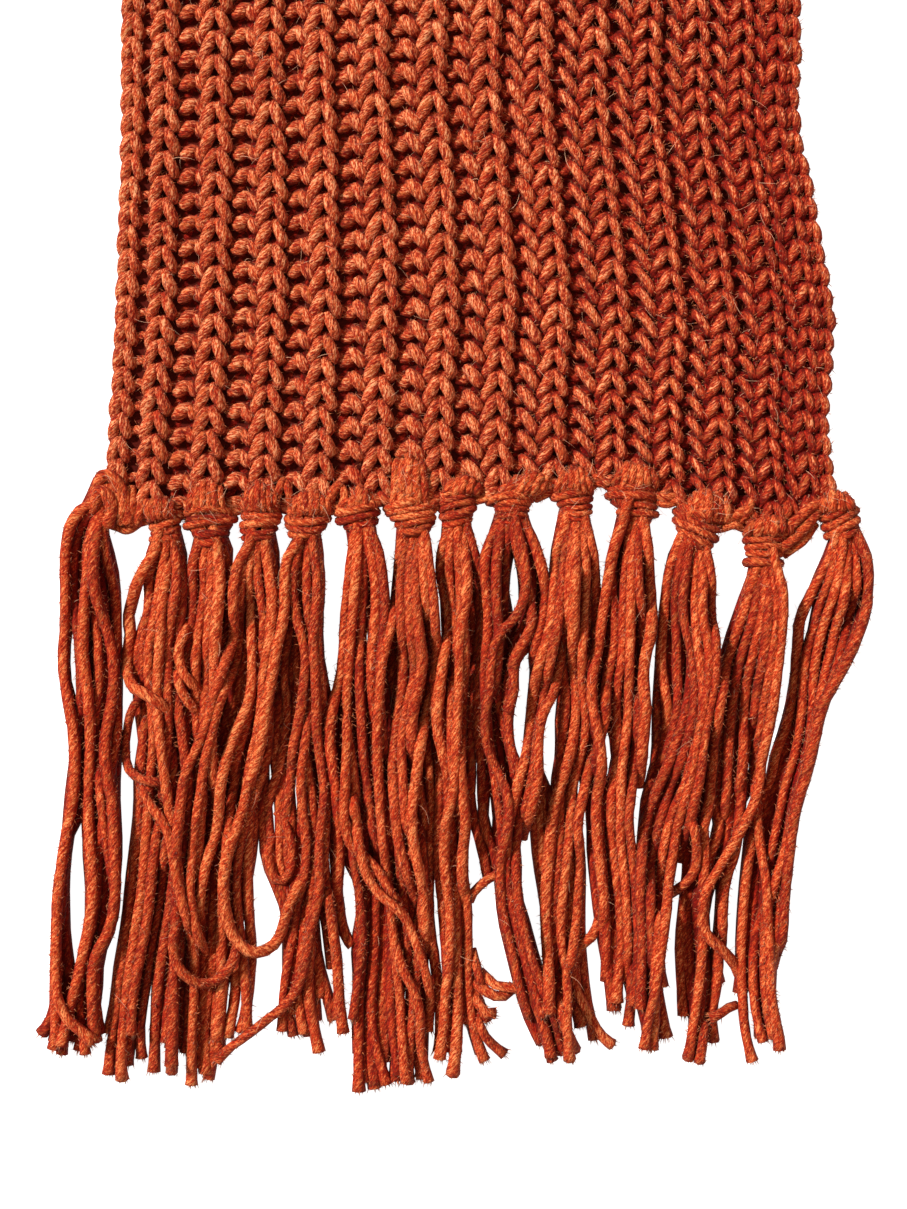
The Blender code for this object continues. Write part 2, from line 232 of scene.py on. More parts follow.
# Sides of each near tail, top to bottom, which strands beneath fill out, and
# the slits through which the floor shows (top, bottom, left, right).
TAILS = (
    ((501, 84, 106), (530, 68, 106), (570, 62, 118), (608, 63, 121), (679, 67, 121),
     (734, 70, 120), (789, 64, 119), (862, 59, 121), (890, 56, 119), (944, 50, 114),
     (972, 48, 109), (999, 49, 101), (1024, 50, 93), (1052, 46, 92)),
    ((540, 152, 182), (553, 145, 188), (575, 143, 186), (608, 141, 184), (652, 131, 187),
     (707, 133, 190), (762, 131, 186), (807, 133, 176), (862, 127, 168), (917, 122, 164),
     (972, 112, 150), (1027, 105, 138), (1083, 95, 127)),
    ((536, 194, 226), (553, 189, 235), (608, 184, 222), (652, 180, 219), (707, 178, 214),
     (762, 172, 206), (807, 168, 200), (862, 162, 200), (917, 152, 196), (972, 150, 192),
     (1027, 150, 190), (1074, 147, 182)),
    ((537, 248, 276), (553, 238, 280), (608, 228, 279), (652, 220, 276), (707, 211, 269),
     (762, 190, 262), (807, 192, 260), (862, 190, 256), (917, 188, 244), (972, 186, 232),
     (1027, 184, 224), (1092, 183, 216)),
    ((538, 294, 320), (553, 283, 321), (608, 279, 321), (652, 275, 323), (707, 262, 324),
     (762, 252, 327), (807, 256, 330), (862, 258, 326), (917, 283, 330), (962, 280, 336),
     (1012, 282, 346), (1044, 292, 348)),
    ((526, 344, 368), (553, 350, 385), (608, 344, 387), (652, 340, 389), (707, 329, 391),
     (762, 329, 396), (807, 332, 395), (862, 340, 394), (917, 347, 394), (972, 352, 394),
     (1027, 352, 400), (1088, 352, 404)),
    ((534, 396, 426), (553, 395, 430), (608, 390, 436), (652, 386, 438), (707, 384, 436),
     (762, 384, 440), (807, 386, 438), (862, 380, 436), (917, 374, 432), (972, 378, 430),
     (1027, 376, 428), (1086, 376, 428)),
    ((526, 442, 470), (553, 440, 480), (608, 440, 486), (652, 442, 486), (707, 440, 484),
     (762, 440, 474), (807, 440, 468), (862, 438, 468), (917, 440, 468), (970, 446, 472),
     (1020, 446, 490), (1066, 440, 506)),
    ((519, 494, 524), (553, 483, 537), (580, 484, 545), (608, 490, 546), (652, 488, 531),
     (707, 482, 513), (762, 486, 517), (807, 478, 518), (873, 494, 522), (917, 497, 528),
     (962, 506, 540), (1018, 524, 560), (1052, 538, 572)),
    ((516, 558, 590), (553, 550, 597), (608, 547, 598), (652, 533, 595), (707, 527, 587),
     (762, 522, 573), (807, 528, 582), (873, 534, 587), (944, 546, 586), (1000, 552, 592),
     (1055, 556, 604)),
    ((514, 618, 648), (553, 609, 654), (608, 600, 654), (652, 595, 649), (707, 590, 649),
     (762, 576, 648), (807, 584, 626), (873, 590, 631), (944, 598, 630), (1012, 606, 640)),
    ((543, 676, 706), (553, 668, 709), (608, 660, 712), (652, 657, 712), (707, 653, 709),
     (762, 653, 708), (807, 638, 688), (873, 636, 675), (944, 630, 664), (1000, 636, 668),
     (1048, 648, 670)),
    ((566, 752, 780), (581, 745, 782), (608, 736, 779), (652, 721, 774), (707, 711, 771),
     (762, 704, 763), (807, 684, 744), (873, 683, 733), (944, 674, 723), (999, 678, 720),
     (1052, 686, 714)),
    ((542, 830, 858), (553, 826, 868), (580, 812, 869), (608, 804, 867), (652, 794, 849),
     (707, 786, 819), (762, 769, 808), (807, 748, 794), (873, 741, 786), (944, 736, 782),
     (1000, 738, 776), (1048, 744, 782)),
)
SLITS = (
    (612, 705, 69, 75), (812, 985, 68, 84), (935, 1025, 101, 111), (584, 620, 139, 147), (712, 764, 132, 138),
    (560, 702, 323, 339), (622, 648, 365, 370), (866, 944, 344, 356), (878, 1060, 259, 279), (822, 905, 467, 477),
    (790, 840, 487, 494), (552, 624, 509, 518), (858, 918, 520, 535), (640, 700, 517, 530), (690, 762, 512, 523),
    (702, 794, 541, 556), (798, 852, 582, 588), (893, 917, 587, 592), (722, 792, 600, 612), (638, 722, 647, 652),
    (788, 847, 632, 639), (603, 627, 703, 706), (813, 842, 703, 717), (893, 932, 709, 718), (860, 965, 726, 736),
    (600, 745, 772, 786), (728, 792, 760, 770), (748, 792, 746, 750), (606, 644, 803, 811),
)

# Every strand of the near fringe. "u" lies beneath in its tail, "o" over it,
# "t" on top of its neighbours too, and "l" is a stray that comes up out of the
# others and lies across them.
FRINGE = (
    (   # tail 1
        ("u", ((101, 516), (92, 548), (86, 590), (87, 640), (88, 690), (86, 745), (85, 800), (88, 850),
              (91, 895), (86, 945), (76, 985), (66, 1020), (62, 1052))),
        ("u", ((103, 518), (99, 545), (103, 590), (106, 640), (104, 690), (108, 740), (112, 790),
              (108, 840), (106, 890), (102, 935), (92, 980), (84, 1015), (78, 1050))),
        ("o", ((97, 508), (86, 520), (76, 542), (73, 575), (76, 612), (80, 650), (82, 690), (80, 728),
              (75, 765), (70, 800), (68, 835), (70, 862), (69, 882), (62, 905), (57, 935), (54, 970),
              (55, 1005), (48, 1024), (40, 1036))),
        ("o", ((95, 504), (80, 513), (70, 532), (66, 560), (67, 595), (67, 635), (69, 675), (72, 708),
              (77, 745), (76, 785), (72, 812), (68, 838), (63, 866), (60, 895), (58, 930), (57, 965),
              (56, 1000), (58, 1030), (57, 1050))),
        ("o", ((104, 520), (106, 548), (112, 575), (116, 602), (117, 635), (116, 668), (118, 702),
              (117, 738), (111, 778), (104, 820), (99, 862), (97, 905), (91, 940), (84, 968), (80, 1000),
              (84, 1028), (89, 1050))),
        ("o", ((99, 514), (90, 540), (88, 568), (93, 602), (99, 640), (100, 680), (98, 720), (100, 760),
              (104, 800), (108, 835), (112, 870), (116, 900), (110, 935), (103, 965), (98, 1000), (97, 1030))),
        ("o", ((100, 514), (94, 540), (91, 575), (86, 612), (84, 650), (90, 690), (93, 730), (92, 770),
              (90, 810), (93, 850), (95, 880), (93, 915), (86, 950), (78, 985), (70, 1015), (66, 1046))),
        ("o", ((102, 517), (98, 545), (97, 580), (104, 615), (112, 642), (116, 672), (113, 705), (108, 735),
              (109, 765), (115, 800), (117, 850), (118, 890), (113, 925), (107, 950), (100, 975),
              (96, 1000), (94, 1035))),
        ("l", ((57, 960), (60, 990), (70, 1012), (84, 1026), (97, 1036))),
    ),
    (   # tail 2
        ("u", ((172, 548), (176, 575), (172, 610), (164, 650), (166, 690), (172, 730), (176, 775),
              (172, 820), (166, 860), (160, 900), (152, 940), (146, 985), (140, 1030), (138, 1056))),
        ("u", ((166, 548), (160, 580), (156, 620), (158, 660), (164, 700), (160, 740), (154, 780),
              (150, 820), (148, 860), (144, 900), (138, 940), (133, 985), (128, 1030), (124, 1060))),
        ("u", ((178, 548), (184, 575), (182, 620), (176, 660), (180, 700), (186, 740), (190, 780),
              (186, 830), (180, 880), (178, 930), (176, 980), (174, 1030), (172, 1066))),
        ("o", ((160, 550), (150, 575), (146, 600), (145, 630), (143, 660), (144, 690), (146, 720),
              (143, 755), (141, 790), (138, 830), (134, 870), (131, 905), (126, 940), (121, 975),
              (117, 1010), (111, 1045), (106, 1074))),
        ("o", ((168, 550), (164, 575), (159, 605), (153, 635), (150, 665), (154, 700), (156, 735),
              (153, 770), (150, 805), (147, 845), (143, 885), (138, 925), (132, 965), (127, 1005),
              (123, 1045), (122, 1082))),
        ("o", ((176, 550), (180, 572), (177, 600), (171, 630), (170, 665), (171, 705), (170, 745),
              (166, 785), (160, 820), (155, 860), (151, 900), (146, 935), (139, 970), (135, 1000),
              (131, 1030))),
        ("o", ((172, 552), (168, 580), (164, 610), (163, 650), (160, 690), (163, 730), (168, 775),
              (174, 815), (178, 850), (183, 880), (188, 905), (193, 930), (196, 965), (194, 1000),
              (192, 1040), (190, 1088))),
        ("t", ((158, 550), (145, 572), (135, 594), (128, 614), (130, 636), (127, 655), (128, 673),
              (136, 686), (150, 693), (164, 702), (174, 713), (181, 728))),
        ("l", ((146, 690), (138, 702), (129, 720), (125, 742), (126, 760), (133, 772), (147, 778),
              (162, 780), (176, 785), (186, 794))),
        ("l", ((150, 776), (160, 786), (172, 792), (184, 800))),
        ("l", ((140, 778), (148, 796), (160, 810), (170, 824), (176, 846), (180, 872), (186, 900),
              (192, 926), (196, 950))),
    ),
    (   # tail 3
        ("u", ((202, 546), (196, 575), (194, 610), (190, 650), (186, 700), (184, 750), (182, 800),
              (180, 850), (176, 900), (172, 950), (168, 1000), (164, 1040))),
        ("u", ((214, 546), (218, 575), (216, 620), (210, 665), (204, 710), (198, 760), (194, 810),
              (192, 860), (190, 910), (190, 960), (188, 1010), (186, 1050))),
        ("u", ((222, 546), (230, 575), (228, 620), (220, 660), (214, 710), (212, 760), (214, 810),
              (218, 860), (222, 910), (224, 960), (220, 1010), (216, 1052))),
        ("o", ((200, 545), (193, 568), (194, 600), (192, 630), (188, 655), (190, 690), (188, 730),
              (184, 770), (178, 805), (176, 840), (175, 880), (170, 920), (164, 955), (158, 990),
              (155, 1030), (154, 1072))),
        ("o", ((206, 545), (205, 570), (205, 600), (200, 635), (197, 660), (198, 700), (200, 740),
              (198, 780), (193, 815), (190, 850), (188, 890), (183, 930), (178, 965), (175, 1000),
              (174, 1040), (171, 1070))),
        ("o", ((212, 546), (214, 575), (212, 610), (209, 645), (208, 680), (208, 710), (206, 760),
              (203, 800), (200, 840), (198, 880), (200, 930), (202, 980), (204, 1030), (206, 1078))),
        ("o", ((218, 546), (222, 570), (221, 600), (218, 635), (217, 665), (216, 700), (214, 740),
              (216, 780), (222, 820), (226, 860), (232, 900), (236, 950), (234, 1000), (226, 1040))),
        ("l", ((192, 610), (186, 634), (181, 652), (186, 672), (197, 686), (207, 697), (214, 702))),
        ("l", ((182, 655), (180, 675), (188, 696), (198, 709), (208, 718), (216, 724))),
    ),
    (   # tail 4
        ("u", ((258, 548), (262, 590), (256, 640), (248, 690), (240, 740), (234, 790), (228, 840),
              (224, 890), (222, 940), (222, 990), (220, 1040))),
        ("u", ((262, 548), (270, 600), (270, 660), (262, 710), (256, 760), (250, 810), (248, 860),
              (248, 910), (250, 960), (246, 1010), (240, 1030))),
        ("u", ((268, 548), (276, 575), (275, 615), (274, 650), (270, 690), (268, 720), (268, 750),
              (262, 775), (254, 800), (246, 825), (240, 850), (236, 880), (238, 910), (242, 950),
              (246, 990), (248, 1030))),
        ("o", ((258, 546), (258, 570), (263, 600), (266, 625), (262, 650), (258, 680), (254, 705),
              (246, 725), (240, 745), (234, 765), (230, 790))),
        ("o", ((254, 546), (249, 575), (251, 605), (252, 635), (253, 665), (253, 690), (249, 708),
              (240, 725), (233, 742), (228, 760), (224, 780), (222, 800), (219, 825), (213, 845),
              (207, 865), (203, 885), (200, 910), (203, 935))),
        ("o", ((250, 548), (245, 570), (241, 600), (240, 630), (238, 655), (232, 675), (225, 695),
              (219, 715), (214, 740), (208, 760), (204, 785), (200, 810), (196, 835), (194, 860),
              (193, 890), (200, 930), (206, 960))),
        ("t", ((250, 546), (240, 565), (236, 590), (236, 620), (233, 645), (226, 668), (219, 690),
              (213, 712), (206, 732), (197, 752), (188, 772), (184, 795), (182, 825), (180, 860), (180, 880))),
        ("t", ((266, 546), (270, 570), (274, 600), (272, 640), (266, 670), (264, 700), (260, 730),
              (254, 752), (250, 775), (246, 800), (238, 825), (230, 848), (226, 868), (225, 890),
              (229, 915), (236, 936), (248, 948), (260, 951), (272, 946), (280, 935), (286, 915),
              (292, 898), (302, 880), (312, 866))),
        ("l", ((186, 905), (178, 925), (176, 945), (181, 962), (191, 974), (205, 981), (219, 977),
              (230, 966), (237, 950), (234, 930))),
    ),
    (   # tail 5
        ("u", ((318, 548), (322, 620), (326, 700), (332, 780), (334, 850), (338, 900), (343, 930),
              (352, 945))),
        ("u", ((310, 548), (314, 600), (316, 650), (314, 700), (310, 750), (306, 790), (310, 830),
              (312, 870), (306, 910), (302, 950), (298, 980), (300, 1010), (302, 1035))),
        ("u", ((304, 548), (300, 600), (298, 650), (300, 700), (304, 750), (312, 800), (316, 850),
              (312, 900), (310, 950), (308, 990), (312, 1020), (317, 1050))),
        ("o", ((308, 546), (308, 580), (310, 620), (312, 660), (312, 700), (306, 740), (302, 780),
              (304, 810), (308, 840), (306, 870), (298, 900), (294, 930), (288, 960), (283, 990),
              (282, 1010), (284, 1035))),
        ("o", ((316, 548), (321, 580), (320, 620), (322, 660), (323, 700), (325, 740), (330, 780),
              (326, 820), (324, 860), (326, 880), (330, 900), (333, 925), (336, 950), (338, 980),
              (338, 1005), (336, 1022))),
        ("o", ((298, 546), (292, 565), (291, 595), (293, 615), (288, 640), (284, 660), (284, 680),
              (287, 700), (287, 725), (284, 745), (280, 765), (273, 785), (268, 810))),
        ("o", ((300, 546), (294, 570), (294, 598), (300, 625), (308, 652), (306, 680), (303, 706),
              (298, 730), (293, 750), (291, 770), (288, 800), (284, 830))),
        ("t", ((298, 545), (288, 560), (286, 590), (286, 610), (283, 630), (278, 650), (275, 668),
              (272, 685), (268, 705), (266, 725), (262, 745), (257, 765), (251, 785), (247, 800))),
        ("t", ((314, 546), (318, 575), (318, 605), (315, 640), (317, 670), (318, 700), (318, 730),
              (322, 760), (325, 790), (322, 820), (320, 850), (320, 885), (316, 910), (311, 930),
              (308, 950), (304, 970), (296, 990), (284, 1006), (268, 1018), (250, 1032), (232, 1045),
              (214, 1057))),
        ("l", ((276, 812), (284, 822), (291, 840), (292, 860), (288, 876), (278, 882), (270, 868),
              (268, 850), (272, 836))),
        ("l", ((326, 880), (332, 920), (337, 960), (340, 1000), (344, 1034))),
    ),
    (   # tail 6
        ("u", ((358, 534), (356, 580), (354, 630), (352, 680), (356, 720), (361, 750), (366, 780),
              (366, 820), (362, 860), (356, 890), (360, 920), (364, 950), (360, 980), (358, 1020),
              (358, 1060), (358, 1090))),
        ("u", ((368, 534), (372, 590), (372, 640), (368, 690), (370, 730), (374, 770), (380, 810),
              (378, 860), (376, 900), (374, 950), (370, 1000), (372, 1030), (380, 1060), (388, 1085))),
        ("u", ((372, 534), (380, 600), (380, 660), (386, 700), (390, 740), (390, 790), (388, 840),
              (390, 900), (392, 950), (390, 1000), (394, 1040), (398, 1075))),
        ("o", ((362, 534), (366, 580), (368, 640), (366, 700), (358, 740), (352, 790), (352, 840),
              (356, 880), (361, 915), (363, 945), (358, 980), (356, 1020))),
        ("o", ((356, 532), (352, 560), (348, 600), (343, 640), (338, 670), (333, 700), (330, 730),
              (333, 760), (337, 790), (339, 815), (340, 840), (338, 870), (336, 900))),
        ("o", ((364, 532), (364, 560), (363, 600), (361, 640), (360, 680), (362, 720), (364, 760),
              (368, 790), (372, 820), (378, 845), (384, 870))),
        ("o", ((366, 530), (372, 555), (377, 585), (376, 620), (372, 650), (373, 690), (375, 730),
              (378, 770), (384, 800), (390, 830), (396, 860))),
        ("o", ((370, 530), (379, 550), (384, 580), (386, 610), (384, 640), (380, 670), (380, 700),
              (384, 740), (386, 780))),
        ("o", ((360, 532), (358, 560), (355, 600), (351, 640), (349, 675), (347, 700), (349, 730),
              (353, 760), (356, 790), (358, 815))),
        ("l", ((347, 700), (348, 740), (346, 780), (345, 815), (351, 842), (366, 856), (380, 870),
              (390, 888), (400, 903), (404, 920))),
        ("l", ((352, 780), (356, 815), (360, 845), (366, 868), (374, 884), (388, 898), (402, 910),
              (412, 930), (419, 948), (426, 972), (430, 1000), (427, 1030))),
    ),
    (   # tail 7
        ("u", ((414, 540), (406, 590), (404, 640), (400, 690), (396, 740), (396, 800), (400, 850),
              (404, 900), (408, 950), (412, 1000), (416, 1050), (424, 1078))),
        ("u", ((420, 540), (422, 600), (424, 660), (424, 710), (428, 760), (432, 810), (430, 860),
              (428, 910), (432, 950), (438, 990), (440, 1020), (436, 1055))),
        ("u", ((410, 542), (414, 600), (408, 660), (408, 720), (412, 780), (420, 830), (424, 870),
              (422, 910), (418, 960), (414, 1010), (410, 1050), (408, 1083))),
        ("o", ((402, 540), (398, 565), (396, 595), (394, 620), (387, 645), (382, 670), (380, 700),
              (378, 730), (378, 765), (380, 800), (384, 840), (388, 880), (392, 920), (396, 960),
              (400, 1000), (402, 1040), (406, 1080))),
        ("o", ((406, 540), (402, 570), (401, 600), (403, 630), (404, 660), (403, 690), (398, 720),
              (394, 750), (394, 790), (398, 830), (404, 860), (412, 885), (416, 905))),
        ("o", ((412, 540), (410, 575), (410, 610), (412, 640), (416, 665), (412, 690), (406, 715),
              (402, 745), (404, 785), (406, 820), (412, 850), (416, 880))),
        ("o", ((418, 540), (416, 570), (416, 600), (419, 630), (423, 655), (421, 680), (414, 705),
              (411, 735), (414, 765), (418, 790), (424, 815), (427, 840))),
        ("o", ((424, 540), (423, 570), (426, 600), (430, 625), (434, 645), (435, 665), (432, 690),
              (426, 715), (420, 745), (416, 775), (412, 810), (414, 840), (420, 865), (424, 890),
              (425, 920), (424, 950))),
        ("o", ((426, 540), (430, 570), (434, 600), (436, 630), (437, 660), (434, 690), (434, 715),
              (438, 735), (443, 760), (446, 790))),
        ("l", ((392, 930), (398, 952), (406, 973), (415, 990), (420, 1012), (420, 1040), (424, 1062),
              (426, 1080))),
    ),
    (   # tail 8
        ("u", ((455, 534), (456, 590), (448, 650), (446, 700), (442, 750), (440, 800), (438, 850),
              (442, 900), (446, 960), (448, 1010), (446, 1050))),
        ("o", ((466, 532), (472, 555), (478, 575), (479, 600), (481, 620), (478, 645), (474, 670),
              (472, 695), (471, 720), (470, 745), (472, 770), (470, 790), (472, 812), (478, 835),
              (483, 855), (489, 880))),
        ("o", ((468, 532), (476, 560), (483, 590), (484, 630), (480, 670), (478, 700), (478, 740),
              (481, 765), (481, 790), (484, 815), (490, 840), (496, 862))),
        ("o", ((448, 532), (441, 555), (441, 580), (446, 602), (450, 625), (447, 645), (443, 665),
              (441, 685), (438, 705), (437, 725), (442, 748), (447, 770), (449, 800), (451, 830),
              (453, 860), (455, 890), (456, 930), (457, 970), (457, 1010), (456, 1040), (454, 1070))),
        ("o", ((452, 532), (449, 560), (450, 590), (455, 615), (457, 640), (454, 665), (452, 690),
              (451, 720), (451, 750), (455, 780), (460, 810), (463, 840), (465, 865), (467, 900),
              (468, 940), (468, 980), (470, 1005), (474, 1030), (480, 1050), (484, 1062))),
        ("o", ((458, 532), (459, 560), (461, 590), (462, 620), (464, 645), (464, 670), (462, 700),
              (461, 730), (460, 760), (462, 790), (466, 820), (467, 850), (466, 880), (464, 905))),
        ("o", ((462, 532), (465, 555), (467, 580), (465, 605), (460, 630), (459, 660), (459, 690),
              (457, 720), (456, 750), (454, 785), (446, 815), (444, 850), (446, 880), (450, 910),
              (450, 950), (446, 990), (444, 1020), (438, 1055))),
        ("l", ((470, 902), (474, 892), (484, 882), (494, 876), (500, 874))),
        ("l", ((472, 950), (476, 964), (480, 984))),
        ("l", ((470, 982), (482, 988), (492, 995), (504, 996), (516, 990))),
        ("l", ((480, 972), (494, 984), (506, 986), (517, 984))),
        ("l", ((470, 990), (478, 1003), (485, 1012), (495, 1014))),
        ("l", ((474, 1010), (482, 1030), (492, 1045), (503, 1058))),
    ),
    (   # tail 9
        ("u", ((506, 526), (500, 560), (498, 600), (496, 640), (494, 690), (498, 740), (504, 790),
              (506, 840), (508, 880), (514, 920), (522, 960), (532, 1000), (542, 1030), (550, 1058))),
        ("u", ((516, 526), (520, 560), (524, 600), (520, 640), (512, 690), (512, 740), (516, 790),
              (514, 840), (514, 880), (520, 930), (530, 970), (540, 1000), (550, 1030))),
        ("o", ((500, 524), (490, 540), (484, 560), (486, 590), (488, 620), (486, 650), (484, 680),
              (488, 730), (494, 770), (499, 800), (503, 840), (506, 880), (511, 910), (517, 940),
              (525, 970), (535, 1000), (545, 1025), (553, 1052))),
        ("o", ((508, 524), (506, 550), (505, 580), (505, 610), (503, 632), (497, 655), (497, 685),
              (500, 710), (506, 735), (511, 755), (515, 775), (512, 800), (508, 830), (506, 860),
              (510, 895), (516, 925), (524, 955), (534, 985), (543, 1010))),
        ("o", ((503, 524), (497, 550), (495, 580), (496, 610), (499, 632), (496, 660), (492, 690),
              (488, 712))),
        ("o", ((518, 524), (524, 545), (531, 568), (532, 592), (528, 612), (520, 632), (513, 650),
              (508, 672), (506, 695), (509, 720), (514, 742), (520, 765), (520, 800), (517, 830),
              (515, 860), (516, 890), (520, 915), (526, 940), (534, 965), (544, 990), (556, 1020),
              (562, 1055))),
        ("o", ((522, 524), (530, 540), (538, 560), (543, 582), (544, 602), (540, 622), (533, 640),
              (527, 655), (520, 670), (514, 690), (508, 712), (510, 735))),
        ("o", ((524, 524), (534, 545), (541, 570), (546, 595), (543, 615), (536, 640), (528, 658),
              (518, 678))),
        ("o", ((512, 526), (518, 555), (527, 585), (531, 610), (530, 635), (524, 655), (516, 672),
              (512, 692))),
        ("t", ((516, 526), (522, 550), (525, 575), (523, 598), (514, 618), (502, 630), (495, 643),
              (491, 664), (489, 690), (485, 710), (484, 730), (488, 750), (496, 768), (504, 785),
              (508, 805), (506, 830), (500, 855), (500, 880), (503, 905), (508, 930), (513, 955),
              (518, 980), (524, 1000), (530, 1014))),
    ),
    (   # tail 10
        ("u", ((572, 524), (566, 600), (562, 660), (566, 700), (562, 740), (560, 790), (560, 840),
              (556, 890), (552, 930), (556, 970), (560, 1010), (572, 1050))),
        ("u", ((582, 524), (588, 600), (586, 660), (588, 710), (580, 760), (590, 800), (594, 840),
              (600, 880), (602, 910), (594, 935), (580, 945), (572, 955), (574, 985), (586, 1010),
              (600, 1035), (610, 1045))),
        ("o", ((566, 522), (557, 550), (554, 580), (552, 605), (548, 632), (541, 652), (536, 675),
              (533, 700), (531, 725), (527, 750), (520, 772), (514, 795), (508, 820), (503, 850))),
        ("o", ((570, 522), (564, 555), (560, 590), (557, 620), (552, 645), (547, 670), (544, 695),
              (541, 715), (537, 740), (533, 765), (528, 790), (522, 815), (518, 840))),
        ("o", ((574, 522), (570, 555), (567, 590), (566, 620), (563, 650), (557, 675), (553, 698),
              (547, 718), (543, 740), (539, 765), (534, 790), (528, 815), (524, 840))),
        ("o", ((576, 522), (574, 560), (572, 600), (571, 635), (573, 660), (576, 685), (577, 710),
              (574, 732), (570, 752), (563, 772), (557, 790), (552, 815), (550, 840), (548, 865),
              (546, 890), (545, 920), (547, 950), (548, 980), (549, 1010))),
        ("o", ((580, 522), (583, 555), (585, 590), (584, 620), (580, 650), (581, 680), (584, 705),
              (586, 725), (583, 745), (577, 765), (572, 785), (571, 810), (569, 840), (566, 870),
              (562, 900), (560, 930), (563, 960), (566, 985), (565, 1020), (568, 1058))),
        ("o", ((584, 522), (592, 555), (596, 590), (597, 620), (594, 650), (590, 675), (592, 700),
              (595, 725), (594, 750), (588, 775), (582, 800), (582, 830), (580, 860), (578, 890),
              (576, 920), (571, 950), (568, 980))),
    ),
    (   # tail 11
        ("u", ((636, 522), (640, 580), (634, 640), (630, 690), (628, 740), (628, 800), (626, 860),
              (630, 920), (632, 980), (630, 1030))),
        ("u", ((628, 522), (620, 600), (614, 660), (608, 720), (606, 780), (600, 830), (604, 880),
              (606, 930), (604, 980))),
        ("o", ((624, 520), (614, 545), (611, 575), (612, 602), (616, 628), (614, 650), (608, 672),
              (604, 700), (604, 730), (600, 760), (594, 785))),
        ("o", ((630, 520), (627, 550), (624, 585), (622, 615), (622, 650), (619, 680), (615, 705),
              (617, 730), (613, 755), (611, 790), (611, 830), (614, 860), (618, 890), (621, 920),
              (622, 950), (618, 980), (614, 1005))),
        ("o", ((634, 520), (631, 560), (629, 600), (628, 640), (627, 675), (628, 705), (625, 735),
              (621, 765), (620, 800), (620, 840), (624, 880), (626, 910), (628, 950), (626, 980))),
        ("o", ((638, 520), (636, 555), (637, 590), (641, 620), (643, 650), (640, 680), (636, 705),
              (636, 735), (633, 765), (630, 800), (630, 840), (634, 880), (636, 920), (637, 960),
              (634, 990), (632, 1005))),
        ("o", ((642, 520), (646, 550), (649, 585), (650, 620), (649, 655), (647, 685), (645, 705),
              (641, 730), (641, 760), (640, 790))),
        ("t", ((622, 520), (612, 550), (607, 580), (603, 605), (600, 630), (596, 655), (591, 675),
              (590, 700), (594, 722), (598, 745), (600, 770), (596, 800), (596, 830), (600, 870),
              (604, 905), (602, 935))),
    ),
    (   # tail 12
        ("u", ((684, 550), (690, 600), (682, 650), (676, 700), (682, 750), (690, 800), (694, 850),
              (690, 900), (690, 950), (692, 990), (696, 1020), (700, 1055))),
        ("u", ((700, 550), (702, 620), (694, 680), (688, 740), (694, 790), (700, 840), (700, 880),
              (696, 920), (702, 960), (700, 1000), (696, 1040))),
        ("o", ((676, 548), (668, 575), (665, 605), (662, 635), (661, 665), (665, 690), (668, 715),
              (666, 740), (663, 765), (660, 790))),
        ("o", ((682, 548), (676, 575), (674, 605), (676, 635), (676, 665), (678, 690), (677, 712),
              (672, 735), (664, 755), (655, 775))),
        ("o", ((692, 546), (691, 575), (688, 605), (690, 640), (690, 670), (686, 700), (680, 725),
              (673, 747), (664, 770), (656, 792), (648, 815), (642, 840), (638, 870), (638, 900),
              (640, 940), (640, 980), (638, 1005))),
        ("o", ((688, 546), (684, 570), (680, 600), (683, 625), (690, 650), (693, 680), (692, 705),
              (688, 730), (682, 750), (676, 770), (668, 795), (660, 820), (654, 845), (650, 870),
              (648, 900), (650, 940), (650, 980), (652, 1010), (650, 1050))),
        ("o", ((694, 560), (693, 600), (694, 640), (699, 670), (700, 700), (697, 730), (690, 755),
              (686, 780), (678, 800), (670, 822), (662, 850), (660, 880), (657, 910), (654, 945),
              (652, 980), (654, 1010), (652, 1048))),
        ("o", ((698, 548), (701, 575), (699, 605), (702, 630), (706, 655), (704, 685), (700, 712),
              (694, 740), (690, 765), (684, 790), (678, 815), (673, 845), (668, 875), (664, 900),
              (660, 930), (656, 960), (652, 990), (646, 1020), (644, 1046))),
        ("o", ((704, 548), (709, 580), (711, 615), (712, 650), (711, 680), (706, 710), (700, 745),
              (697, 775), (690, 800), (686, 830), (680, 860))),
        ("l", ((684, 800), (690, 822), (694, 845), (693, 866), (685, 882), (673, 897))),
    ),
    (   # tail 13
        ("u", ((758, 572), (752, 620), (742, 670), (734, 720), (732, 770), (730, 810), (726, 840),
              (722, 870), (724, 900), (720, 930), (718, 960), (716, 990), (712, 1015), (711, 1044))),
        ("u", ((766, 572), (764, 630), (754, 690), (748, 740), (742, 790), (738, 830), (732, 860),
              (728, 890), (724, 920), (722, 950))),
        ("u", ((752, 572), (745, 600), (738, 630), (730, 660), (724, 700), (720, 740), (718, 780),
              (712, 820), (708, 860), (704, 900), (702, 940), (698, 980), (692, 1020), (688, 1055))),
        ("o", ((756, 570), (747, 592), (741, 615), (735, 635), (728, 655), (722, 675), (717, 700),
              (714, 725), (713, 755), (710, 785), (706, 815), (703, 845), (702, 880), (702, 910))),
        ("o", ((760, 570), (755, 595), (750, 620), (743, 642), (738, 665), (733, 690), (730, 715),
              (728, 745), (726, 775), (724, 800), (720, 830))),
        ("o", ((764, 570), (762, 600), (757, 625), (751, 650), (747, 675), (744, 700), (742, 730),
              (741, 755), (738, 785), (736, 810))),
        ("o", ((768, 570), (766, 600), (763, 630), (759, 660), (756, 690), (753, 715), (752, 740))),
        ("o", ((770, 572), (772, 610), (769, 645), (764, 680), (761, 705), (759, 735), (757, 760),
              (754, 785), (756, 815), (760, 850), (762, 890), (764, 930), (766, 970), (768, 1000),
              (774, 1025), (777, 1044))),
        ("t", ((774, 570), (779, 590), (778, 620), (775, 650), (771, 680), (768, 705), (764, 730),
